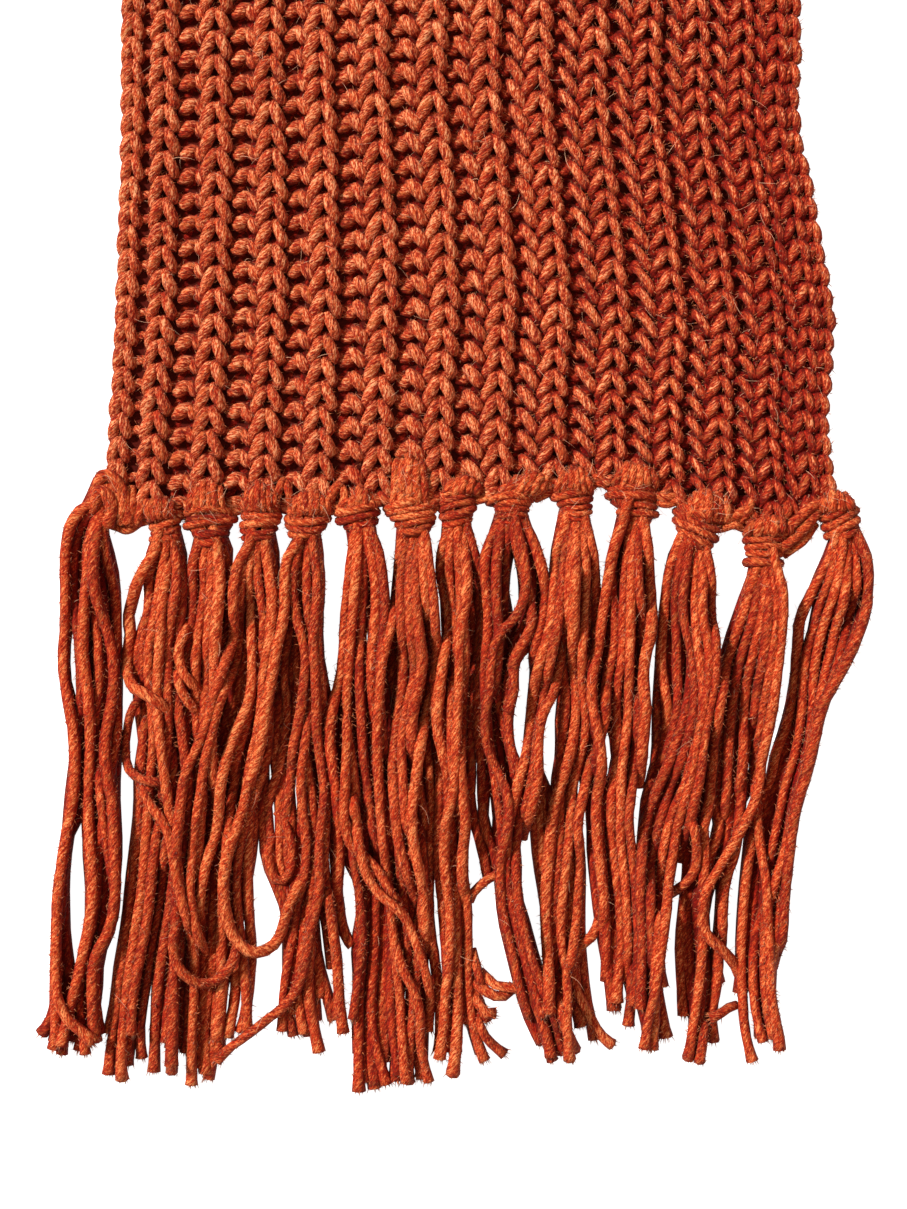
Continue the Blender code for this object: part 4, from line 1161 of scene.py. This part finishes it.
def knit_pieces():
    rng = random.Random(11)
    short = dict(SHORT_ROWS)
    plan = [("knit_near_a", -5, 10), ("knit_near_b", 10, 22), ("knit_mid_a", 22, 73),
            ("knit_mid_b", 73, 124), ("knit_far", 124, COURSES)]
    pile = Pile(-140, 140, -690, 670)
    made = []
    for name, first, stop in plan:
        yarns = Yarns(name)
        for i in range(first, stop):
            near = i < FINE_COURSES
            pts = lay_course(course(i, rng, short.get(i, 0.0)))
            path = evenly(through(pts, 4), 1.6 if near else 4.9, 3)
            sides, lobes = (7, 0.03) if near else (4, 0.0)
            n = np.arange(len(path))
            wobble = 1 + 0.05 * np.sin(n * 0.83 + i) + 0.03 * np.sin(n * 0.31 + 2 * i)
            pile.add(path[:, :2], path[:, 2], YARN)
            yarns.tube(path[:, :3], path[:, 3] * YARN * wobble, sides, rng.random(), lobes, start=rng.uniform(0, 40), hairy=near)
        if stop == COURSES:  # cast off along the far hem
            left, right = side_edges(KNIT_LENGTH)
            x = np.arange(left + 2.2, right - 2.0, 2.6)
            for level, ahead in ((Z_MID + 1.9, 0.0), (Z_MID - 1.9, 0.8)):
                edge = np.column_stack([x, FAR_HEM_Y - 3.2 + ahead + 0.5 * np.sin(x * 1.21 + level),
                                        level + 0.35 * np.sin(x * 0.93)])
                pile.add(edge[:, :2], edge[:, 2], YARN)
                yarns.tube(edge, YARN * (1.22 + 0.12 * np.sin(x * 1.21)), 6, rng.random(), start=rng.uniform(0, 40))
        made.append(yarns)
    around = pile.spread(2.6)
    for yarns in made:
        yarns.shade(around, 3.6, knit=True)
    return [yarns.build(knit_wool, "knit_wool") for yarns in made]


def shade_sheet():
    """The dark shell inside the knit: a thin closed shell that follows the ribs, near-black as painted shade in the
    gaps between the stitches.
    """
    rows = np.linspace(0.0, KNIT_LENGTH - 4.0, 61)
    shares = np.linspace(0.012, 0.985, 71)
    ribs = np.array([w[0] for w in KNIT_WALES])
    near = np.abs(shares[:, None] - ribs[None, :]).min(axis=1)
    rise = 0.6 * np.cos(np.clip(near / 0.039, 0, 1) * math.pi)
    top = []
    for above in rows:
        left, right = side_edges(above)
        x = left + shares * (right - left) - 0.5 * U * (LEAN_LEFT + (LEAN_RIGHT - LEAN_LEFT) * shares)
        y = NEAR_HEM_Y + above - (line(EDGE, x / U + 452.5) - 494.0) * U * max(0.0, 1 - above / 88.0) ** 1.5
        top.append(np.stack([x, y, Z_MID + rise - 0.7], axis=1))
    top = np.array(top)
    under = top.copy()
    under[..., 2] -= 0.9
    n, m = top.shape[:2]
    i, j = np.arange(n - 1)[:, None], np.arange(m - 1)[None, :]
    a = i * m + j
    up = np.stack([a, a + 1, a + m + 1, a + m], axis=2).reshape(-1, 4)
    down = up[:, ::-1] + n * m
    rim = np.concatenate([np.arange(m - 1), m * np.arange(n - 1) + m - 1,
                          (n - 1) * m + np.arange(m - 1, 0, -1), m * np.arange(n - 1, 0, -1)])
    nxt = np.roll(rim, -1)
    wall = np.stack([nxt, rim, rim + n * m, nxt + n * m], axis=1)
    co = np.vstack([top.reshape(-1, 3), under.reshape(-1, 3)])
    obj = mesh_object("knit_shade_sheet", co, np.vstack([up, down, wall]), np.zeros((0, 3), int), shade_sheet_wool)
    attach(obj, "root")
    return obj


# ------------------------------------------------------------------ the fringe
def eased(values, reach):
    """Slow rises and falls, as a springy strand makes them."""
    k = max(1, int(reach))
    out = np.array([values[max(0, i - k):i + k + 1].max() for i in range(len(values))])
    kernel = np.hanning(2 * k + 3)
    kernel /= kernel.sum()
    return np.convolve(np.pad(out, k + 1, mode="edge"), kernel, mode="valid")


def soften(z, start=10.0, limit=16.5):
    """Keeps a deep pile low: what is on top presses the rest flat."""
    room = limit - start
    return np.where(z > start, start + room * (1 - np.exp(-np.maximum(z - start, 0) / room)), z)


def waver(n, rng, size, spans=(9, 21, 47)):
    out = np.zeros(n)
    for k, span in enumerate(spans):
        out += size * (0.35, 0.6, 1.0)[k] * np.sin(TAU * (np.arange(n) / span + rng.random()))
    return out


def lay_strand(yarns, pile, xy, r, rng, sides, knot=None, lift=0.0, painted_lit=0.6, stray=0.0, sink=(0.0, 0.0), flat=False):
    """One fringe strand along points (x, y) in mm, laid on what is there. It
    may sink in among the others over some length at either end."""
    path = evenly(through(xy, 6), 1.5)
    n = len(path)
    if stray:
        t = np.gradient(path, axis=0)
        t /= np.maximum(np.linalg.norm(t, axis=1, keepdims=True), 1e-9)
        off = waver(n, rng, stray, (16, 29, 53)) * np.clip(np.arange(n) / 22.0 - 0.4, 0, 1)
        path = path + off[:, None] * np.stack([-t[:, 1], t[:, 0]], axis=1)
    z = np.full(n, r) if flat else eased(pile.rest(path, r), 3)
    if lift:  # springy wool bows up between the places where it rests
        z = z + np.maximum(0, waver(n, rng, 0.45 * lift, (17, 31, 59)))
    z = soften(z)
    s = np.arange(n) * 1.5
    if knot is not None:  # it comes out of its knot, high in the bundle
        level, reach = knot
        w = np.clip(1 - s / reach, 0, 1)
        w = w * w * (3 - 2 * w)
        z = z * (1 - w) + level * w
    for length, way in zip(sink, (s, s[::-1])):
        if length:
            w = np.clip(1 - way / length, 0, 1)
            w = w * w * (3 - 2 * w)
            z = z * (1 - w) + r * w
    pile.add(path, z * 0.45 if flat else z, r)
    body = np.column_stack([path, z])
    body = body[::2] if (n - 1) % 2 == 0 else np.vstack([body[::2], body[-1:]])
    if sides < 7:  # plainer at the far end
        body = body[::2] if (len(body) - 1) % 2 == 0 else np.vstack([body[::2], body[-1:]])
    m = len(body)
    thick = r * (1 + waver(m, rng, 0.045, (5, 13, 29)))
    if not sink[1]:  # the cut end is a little frayed
        thick = thick * (1 + 0.26 * np.clip((np.arange(m) - (m - 4)) / 3.0, 0, 1) ** 2)
        if sides > 5:
            ENDS.append((body[-1], body[-1] - body[-2], r))
    yarns.tube(body, thick, sides, rng.random(), 0.04, start=rng.uniform(0, 40), painted_lit=painted_lit, hairy=sides > 6)
    return body


def knot_turns(yarns, cx, width, top, bottom, tilt, turns, smile, rng, sides=8, steps=26, flip=1.0, rise=0.0):
    """Turns of yarn pulled tight round a bundle. flip is -1 at the far end."""
    r = 1.32
    length = top - bottom
    slope = math.tan(math.radians(tilt))
    pitch = (length - 2 * r) / max(1, turns - 1)
    # what the turns grip, deep in painted shade
    along = np.linspace(0.03, 0.97, 7)
    core = 4.0
    for side in (-1, 0, 1):
        across = side * max(0.0, width / 2 - 1.2 * r - core) * np.array([0.4, 0.8, 1.0, 1.0, 0.95, 0.85, 0.6])
        body = np.stack([cx + across, top - along * length - flip * slope * across, np.full(7, 5.8)], axis=1)
        yarns.tube(body, core * np.array([0.55, 0.86, 1.0, 0.98, 0.92, 0.84, 0.66]), 10, rng.random(), painted_lit=0.30)
    for k in range(turns):
        f = k / max(1, turns - 1)
        bulge = 0.90 + 0.10 * math.sin(math.pi * min(1.0, 0.25 + 0.8 * f)) - 0.10 * f * f
        half = width / 2 * bulge * rng.uniform(0.96, 1.04) - r
        high = (4.75 - 0.5 * f) * rng.uniform(0.94, 1.05)
        middle = top - r - pitch * (k + (rng.uniform(-0.22, 0.22) if 0 < k < turns - 1 else 0))
        a = np.arange(steps) / steps * TAU
        across = half * np.cos(a)
        z = 5.8 + (high + rise * (np.sin(a) > 0)) * np.sin(a)
        lean = slope + rng.uniform(-0.13, 0.13)
        dip = smile * rng.uniform(0.5, 1.4) + rng.uniform(-0.4, 0.4)
        y = (middle - flip * lean * across - flip * dip * (np.sin(a) - 0.5) * (np.sin(a) > 0)
             + flip * 0.5 * dip * (np.sin(a) <= 0) + 0.25 * np.sin(2 * a + rng.random() * TAU))
        path = np.stack([cx + across, y, z], axis=1)
        thick = r * rng.uniform(0.84, 1.18) * (1 + 0.07 * np.sin(3 * a + rng.random() * TAU))
        yarns.ring(path, thick, sides, rng.random(), painted_lit=0.62)


def near_knot(yarns, spec, rng):
    """A knot of the near fringe, turn by turn, and the brush above it."""
    _, bands, brush = spec
    core = 3.9
    keys = []
    for lx, ly, rx, ry, half, sag, _ in bands:
        keys.append(((lx + rx) / 2, (ly + ry) / 2, (rx - lx) / 2, (ry - ly) / (rx - lx)))
    first, last = keys[0], keys[-1]
    keys = [(first[0], first[1] - 7, 0.72 * first[2], first[3]), *keys, (last[0], last[1] + 8, 0.86 * last[2], last[3])]
    # the core under the turns, deep in painted shade
    for side in (-1, 0, 1):
        rows, thick = [], []
        for u, v, half, slope in keys:
            reach = side * max(0.0, half - core / U - 4.4)
            rows.append((grid_x(u + reach), grid_y(v + slope * reach), 5.4))
            thick.append(core * min(1.0, 0.2 + half / 24.0))
        thick[0] *= 0.7
        thick[-1] *= 0.8
        yarns.tube(np.array(rows), np.array(thick), 10, rng.random(), painted_lit=0.26)
    for k, (lx, ly, rx, ry, half, sag, painted_lit) in enumerate(bands):
        f = k / max(1, len(bands) - 1)
        r = half * U
        wide = (rx - lx) / 2 - half
        high = (4.7 - 0.7 * f) * min(1.0, 0.55 + wide / 45.0) * rng.uniform(0.96, 1.05)
        a = np.arange(26) / 26 * TAU
        front = np.maximum(np.sin(a), 0)
        u = (lx + rx) / 2 + wide * np.cos(a)
        v = (ly + ry) / 2 + (ry - ly) / 2 * np.cos(a) + sag * (front - 0.3) + 0.8 * np.sin(2 * a + rng.random() * TAU)
        path = np.stack([grid_x(u), grid_y(v), 5.5 + high * np.sin(a)], axis=1)
        thick = r * (1 + 0.10 * np.sin(2 * a + rng.random() * TAU) + 0.05 * np.sin(5 * a + rng.random() * TAU))
        # Each turn takes a little more painted shade than its listed level.
        yarns.ring(path, thick, 8, rng.random(), painted_lit=painted_lit - 0.20)
        HAIRY.append((path, r))
    if brush:
        x0, x1, top, x2, x3, bottom, count = brush
        for k in range(count):
            g = k / (count - 1)
            ends = np.array([x0 + (x1 - x0) * g, top + 5 * (2 * g - 1) ** 2 + rng.uniform(-2.5, 2.5)])
            base = np.array([x2 + (x3 - x2) * g, bottom + rng.uniform(-1, 2)])
            lift = rng.uniform(-0.35, 0.35) - 1.0 * (2 * g - 1) ** 2
            rows = []
            for w, z in ((0.0, 6.6), (0.16, 9.6), (0.5, 10.5), (0.85, 10.6), (1.15, 9.2)):
                at = ends * (1 - w) + base * w
                rows.append((grid_x(at[0]), grid_y(at[1]), z + lift))
            path = through(rows, 4)
            size = (0.74 * (x1 - x0 + x3 - x2) / 2 / (count - 1)) * U
            yarns.tube(path, size * rng.uniform(0.92, 1.12) * (1 + 0.06 * np.sin(np.arange(len(path)) * 0.9 + k)),
                       7, rng.random(), 0.05, start=rng.uniform(0, 40), painted_lit=0.48 + 0.07 * (k % 2), hairy=True)
            HAIRY.append((path, size))


def cords(yarns, rng):
    for half, high, points in CORDS:
        middle = (len(points) - 1) / 2
        path = through([(grid_x(u), grid_y(v), high - 2.2 * abs(k / middle - 1) ** 2)
                        for k, (u, v) in enumerate(points)], 6)
        yarns.tube(path, half * U * (1 + waver(len(path), rng, 0.05, (5, 9, 14))), 8, rng.random(), 0.04,
                   start=rng.uniform(0, 40), painted_lit=0.62, hairy=True)


def parted(points, r):
    """A strand's way with the slits between strands kept open."""
    path = evenly(through(points, 6), 8.0, 2)
    u, v = path[:, 0].copy(), path[:, 1]
    for top, bottom, x0, x1 in SLITS:
        f = (v - top) / (bottom - top)
        within = (f > 0) & (f < 1)
        if not within.any():
            continue
        middle = (x0 + x1) / 2
        half = ((x1 - x0) / 2 + r) * np.sin(math.pi * np.clip(f, 0, 1)) ** 0.5
        side = 1.0 if (u[within] - middle).mean() > 0 else -1.0
        u = np.where(within & (np.abs(u - middle) < half), middle + side * half, u)
    u[2:-2] = (u[:-4] + 2 * u[1:-3] + 3 * u[2:-2] + 2 * u[3:-1] + u[4:]) / 9 if len(u) > 6 else u[2:-2]
    return [(float(a), float(b)) for a, b in zip(u, v)]


def filling(i, rng):
    """Strands that fill a tail out to its sides."""
    r = FRINGE_YARN / U
    keys = np.array(TAILS[i], float)
    v = np.arange(keys[0][0], keys[-1][0] + 1.0, 16.0)
    left = np.interp(v, keys[:, 0], keys[:, 1]) + r - 0.5
    wide = np.maximum(np.interp(v, keys[:, 0], keys[:, 2]) - r + 0.5 - left, 0)
    count = max(3, int(math.ceil(wide.max() / 8.6)) + 1)
    made = []
    for k in range(count):
        share = k / (count - 1) + 0.04 * np.sin(rng.random() * TAU + v / 45.0) * (1 if 0 < k < count - 1 else 0.2)
        low = np.clip((v - v[-1] + 190.0) / 150.0, 0, 1)
        share = share + low * (0.10 * rng.uniform(-1, 1) + 0.10 * np.sin(rng.random() * TAU + v / 31.0))
        end = len(v) - int(rng.uniform(0, 4.5))
        u = left + np.clip(share, 0, 1) * wide
        made.append([(float(a), float(b)) for a, b in zip(u[:end], v[:end])])
    return made


def near_fringe():
    rng = random.Random(23)
    pile = Pile(-140, 140, -850, -636)
    bundles = {i: Yarns(f"tassel_near_{i + 1:02d}_yarn") for i in range(14)}
    loose = Yarns("fringe_loose_strands")

    def lay(i, kind, points, share):
        mx, my = KNOTS[i][0]
        end = points[-1]
        points = [*points[:-1], (end[0] + rng.uniform(-3, 3), end[1] + rng.uniform(-4, 4))]
        thick = FRINGE_YARN * rng.uniform(0.90, 1.12)
        lost = 0.0 if end[1] > 980 else 11.0
        if kind == "l":
            xy = [(grid_x(u), grid_y(v)) for u, v in points]
            lay_strand(loose, pile, xy, thick * 0.94, rng, 7, None, 0.3, 0.64 + TAIL_SHADE[i] * 0.5, 0.1, (9.0, lost))
            return
        if kind != "t":
            if i == 13:
                keys = np.array(TAILS[i], float)
                points = [(min(u, float(np.interp(v, keys[:, 0], keys[:, 2])) - 4.5), v) for u, v in points]
            points = parted(points, thick / U - 0.5)
        x0, y0 = points[0]
        points = [(mx + (x0 - mx) * 0.5, y0 - 22), (mx + (x0 - mx) * 0.8, y0 - 11), *points]
        xy = [(grid_x(u), grid_y(v)) for u, v in points]
        level = {"f": 3.4, "u": 4.6, "o": 7.0, "t": 8.6}[kind] + rng.uniform(-1.4, 1.2)
        # Strands beneath get more painted shade, those on top more painted light.
        painted_lit = {"f": 0.46, "u": 0.46, "o": 0.50 + 0.08 * share, "t": 0.56}[kind] + TAIL_SHADE[i]
        lay_strand(bundles[i], pile, xy, thick, rng, 6 if kind == "f" else 7, (level, 25.0), 0.0 if kind in "fu" else 0.4, painted_lit,
                   0.12, (0.0, lost), kind == "f")

    for i in (0, 2, 1, 3, 4, 5, 6, 7, 8, 9, 10, 11, 13, 12):
        for points in filling(i, rng):
            lay(i, "f", points, 0.0)
        for kinds in ("u", "o"):
            own = [points for kind, points in FRINGE[i] if kind == kinds]
            for k, points in enumerate(own):
                lay(i, kinds, points, k / max(1, len(own) - 1))
    for i in range(14):
        for kind, points in FRINGE[i]:
            if kind in "tl":
                lay(i, kind, points, 1.0)
        if i:
            near_knot(bundles[i], KNOTS[i], rng)
        else:
            # tail 1's knot is one plump body, deep in painted shade
            body = np.stack([np.linspace(grid_x(97), grid_x(136), 6), np.linspace(grid_y(484), grid_y(516), 6),
                             np.full(6, 5.0)], axis=1)
            bundles[0].tube(body, np.array([2.6, 4.2, 4.7, 4.7, 4.2, 2.6]), 10, rng.random(), painted_lit=0.24)
    cords(loose, rng)
    around = pile.spread(1.8)
    loose.shade(around, 7.0)
    made = []
    for i in range(14):
        bundles[i].shade(around, 7.0)
        obj = bundles[i].build(fringe_wool, "fringe_wool")
        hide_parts(f"tassel_near_{i + 1:02d}")
        made.append(obj)
    made.append(loose.build(fringe_wool, "fringe_wool"))
    return made


def far_fringe():
    rng = random.Random(31)
    pile = Pile(-140, 140, 640, 850)
    made = []
    for i in range(FAR_TASSELS):
        x = FAR_FIRST_X + (FAR_LAST_X - FAR_FIRST_X) * i / (FAR_TASSELS - 1)
        tip = FAR_REACH if i == 0 else FAR_TIP_DROP + FAR_TIP_UNEVEN * math.cos(2.3 * i)
        yarns = Yarns(f"tassel_far_{i + 1:02d}_yarn")
        count = 9
        drift = rng.uniform(-5, 5)
        for k in [*range(0, count, 2), *range(1, count, 2)]:
            share = k / (count - 1) - 0.5
            phase = rng.random() * TAU
            xy = []
            for drop, w, d in ((-11.0, 9.5, 0), (-5.0, 9.5, 0), (2.0, 8.0, 0), (8.0, 6.0, 0), (16.0, 8.0, 0.0), (32.0, 12.5, 0.1),
                               (60.0, 14.5, 0.3), (95.0, 14.0, 0.6), (130.0, 13.5, 0.9), (160.0, 14.0, 1.0)):
                xy.append((x + drift * d + share * w + 0.9 * math.sin(phase + drop * 0.05) * min(1, drop / 60 if drop > 0 else 0),
                           FAR_HEM_Y + drop))
            xy.append((x + drift + share * 14.5, FAR_HEM_Y + tip + rng.uniform(-9, -2)))
            lay_strand(yarns, pile, xy, FRINGE_YARN * rng.uniform(0.94, 1.06), rng, 5, (8.3 + rng.uniform(-0.5, 0.4), 58.0), sink=(4.0, 0.0))
        knot_turns(yarns, x, 14.6, -(FAR_HEM_Y + 1.2), -(FAR_HEM_Y + 13.6), rng.uniform(-14, 14), 5, 0.8, rng, 6, 16, rise=1.5)
        # the knot was made pointing down the table; turn it to the far end
        for k, block in enumerate(yarns.co):
            if block[:, 1].mean() < 0:
                block[:, 1] *= -1
                yarns.quads[k] = yarns.quads[k][:, ::-1]
        obj = yarns.build(fringe_wool, "fringe_wool")
        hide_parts(f"tassel_far_{i + 1:02d}")
        made.append(obj)
    return made


def hairs(count):
    """Loose hairs that stand off the yarn, thickest near the near end."""
    rng = np.random.default_rng(41)
    length = np.array([len(p) for p, _ in HAIRY], float)
    pick = rng.choice(len(HAIRY), count, p=length / length.sum())
    co, quads, tris = [], [], []
    rings, sides = 5, 3
    phi = np.arange(sides) * TAU / sides
    for n, which in enumerate(pick):
        path, r = HAIRY[which]
        i = rng.integers(1, len(path) - 2)
        along = path[i + 1] - path[i]
        along /= np.linalg.norm(along) + 1e-9
        side = np.array([-along[1], along[0], 0.0])
        side /= np.linalg.norm(side) + 1e-9
        a = rng.uniform(-1.25, 1.25)
        out = np.array([0, 0, 1.0]) * math.cos(a) + side * math.sin(a)
        reach = rng.uniform(2.0, 7.5)
        go = along * rng.choice([-1, 1]) * rng.uniform(0.3, 1.0) + side * rng.uniform(-1.2, 1.2)
        go /= np.linalg.norm(go)
        bend = np.cross(go, (0, 0, 1.0)) * rng.uniform(-0.9, 0.9)
        at = path[i] + out * r * 0.9
        pts = []
        for k in range(rings):
            f = k / (rings - 1)
            rise = rng.uniform(0.3, 1.3) if k == 0 else rise
            pts.append(at + go * reach * f + bend * reach * f * f * 0.8 + out * rise * math.sin(math.pi * min(1, f * 1.15) * 0.8))
        pts = np.array(pts)
        pts[:, 2] = np.clip(pts[:, 2], 0.25, 13.2)
        _, n1, n2 = frames(pts)
        thick = rng.uniform(0.045, 0.085) * np.array([1.0, 1.0, 0.9, 0.75, 0.4])
        ring = pts[:, None, :] + thick[:, None, None] * (np.cos(phi)[None, :, None] * n1[:, None, :] + np.sin(phi)[None, :, None] * n2[:, None, :])
        base = n * rings * sides
        co.append(ring.reshape(-1, 3))
        for k in range(rings - 1):
            for j in range(sides):
                q = (j + 1) % sides
                quads.append((base + k * sides + j, base + k * sides + q, base + (k + 1) * sides + q, base + (k + 1) * sides + j))
        tris.append((base + 2, base + 1, base))
        last = base + (rings - 1) * sides
        tris.append((last, last + 1, last + 2))
    obj = mesh_object("wool_hairs", np.vstack(co), np.array(quads), np.array(tris), hair_wool)
    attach(obj, "root")
    return obj


def fuzz(count):
    """Short fibre ends that stand off the near yarn, each a closed spike."""
    rng = np.random.default_rng(43)
    a, b, size, weight = [], [], [], []
    for path, r in HAIRY:
        a.append(path[:-1])
        b.append(path[1:])
        size.append(np.full(len(path) - 1, r))
        weight.append(np.linalg.norm(np.diff(path, axis=0), axis=1) * np.clip((path[1:, 2] - 1.5) / 4.0, 0.15, 1))
    a, b, size, weight = np.vstack(a), np.vstack(b), np.concatenate(size), np.concatenate(weight)
    pick = rng.choice(len(a), count, p=weight / weight.sum())
    a, b, size = a[pick], b[pick], size[pick]

    def unit(v):
        return v / np.maximum(np.linalg.norm(v, axis=1, keepdims=True), 1e-9)

    reach = rng.uniform(0.8, 2.2, (count, 1))
    thick = rng.uniform(0.11, 0.19, (count, 1))
    t = unit(b - a)
    up = unit(np.array([[0, 0, 1.0]]) - t * t[:, 2:3])
    side = np.cross(t, up)
    round_ = np.where(rng.random((count, 1)) < 0.55, rng.choice([-1.0, 1.0], (count, 1)) * rng.uniform(1.05, 1.75, (count, 1)),
                      rng.uniform(-1.2, 1.2, (count, 1)))
    out = np.cos(round_) * up + np.sin(round_) * side
    across = np.cross(t, out)
    foot = a + (b - a) * rng.random((count, 1)) + out * size[:, None] * 0.90
    rise = rng.uniform(0.35, 1.30, (count, 1))
    way = unit(t * rng.choice([-1.0, 1.0], (count, 1)) * np.cos(rise) + out * np.sin(rise)
               + across * rng.uniform(-0.7, 0.7, (count, 1)))
    # the cut ends spread like brushes
    each = 14
    place = np.repeat(np.array([e[0] for e in ENDS]), each, axis=0)
    ahead = unit(np.repeat(np.array([e[1] for e in ENDS]), each, axis=0))
    broad = np.repeat(np.array([e[2] for e in ENDS]), each)[:, None]
    stray = rng.normal(0, 1, place.shape)
    stray -= (stray * ahead).sum(axis=1, keepdims=True) * ahead
    stray = unit(stray) * rng.uniform(0.1, 1.0, (len(place), 1))
    foot = np.vstack([foot, place + stray * broad - ahead * 0.8])
    way = np.vstack([way, unit(ahead + stray * 0.55)])
    out = np.vstack([out, unit(stray + 1e-6)])
    reach = np.vstack([reach, rng.uniform(1.0, 3.4, (len(place), 1))])
    thick = np.vstack([thick, rng.uniform(0.20, 0.34, (len(place), 1))])
    count = len(foot)
    n1 = unit(np.cross(way, out) + 1e-6)
    n2 = np.cross(way, n1)
    tip = foot + way * reach
    feet = [foot + thick * (math.cos(TAU * k / 3) * n1 + math.sin(TAU * k / 3) * n2) for k in range(3)]
    co = np.stack([*feet, tip], axis=1).reshape(-1, 3)
    co[:, 2] = np.clip(co[:, 2], 0.1, 20.0)
    base = np.arange(count)[:, None] * 4
    tris = np.concatenate([base + np.array([[2, 1, 0]]), base + np.array([[0, 1, 3]]),
                           base + np.array([[1, 2, 3]]), base + np.array([[2, 0, 3]])])
    obj = mesh_object("wool_fuzz", co, np.zeros((0, 4), int), tris, fuzz_wool)
    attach(obj, "root")
    return obj


# ------------------------------------------------------------------------ build
knit = knit_pieces()
sheet = shade_sheet()
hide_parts("knit_body")
near = near_fringe()
far = far_fringe()
near.append(hairs(760))
near.append(fuzz(44000))

# ------------------------------------------------------- floor, light, camera
bpy.ops.mesh.primitive_plane_add(size=8.0, location=(0, 0, 0))
floor = bpy.context.object
floor.name = "floor"
floor_paint = bpy.data.materials.new("pale_floor")
floor_paint.use_nodes = True
paint = floor_paint.node_tree.nodes["Principled BSDF"]
paint.inputs["Base Color"].default_value = (0.60, 0.60, 0.60, 1)
paint.inputs["Roughness"].default_value = 0.9
paint.inputs["Specular IOR Level"].default_value = 0.1
paint.inputs["Emission Color"].default_value = (1, 1, 1, 1)
paint.inputs["Emission Strength"].default_value = 0.97
floor.data.materials.append(floor_paint)
floor.visible_diffuse = False    # the wool takes no glow from it

world = bpy.data.worlds.new("studio")
bpy.context.scene.world = world
world.use_nodes = True
world.node_tree.nodes["Background"].inputs["Color"].default_value = (1.0, 0.88, 0.80, 1)
world.node_tree.nodes["Background"].inputs["Strength"].default_value = 0.46


def lamp(name, direction, strength, angle, colour):
    data = bpy.data.lights.new(name, "SUN")
    data.energy = strength
    data.angle = math.radians(angle)
    data.color = colour
    obj = bpy.data.objects.new(name, data)
    bpy.context.scene.collection.objects.link(obj)
    import mathutils
    obj.rotation_mode = "QUATERNION"
    obj.rotation_quaternion = mathutils.Vector(direction).to_track_quat("-Z", "Y")
    return obj


lamp("key", (0.70, -0.44, -0.76), 4.48, 7, (1.0, 0.96, 0.90))

camera_data = bpy.data.cameras.new("camera")
camera = bpy.data.objects.new("camera", camera_data)
bpy.context.scene.collection.objects.link(camera)
HEIGHT = 0.65
camera.location = (0.3 * MM, -684.8 * MM, HEIGHT)
camera.rotation_euler = (0, 0, 0)
camera_data.sensor_width = 36.0
camera_data.lens = 36.0 * (HEIGHT - 0.004) / (1209 * U * MM)
camera_data.clip_start, camera_data.clip_end = 0.01, 50
bpy.context.scene.camera = camera

view = bpy.context.scene.view_settings
view.view_transform = "Standard"
view.look = "None"
view.exposure = 0.0
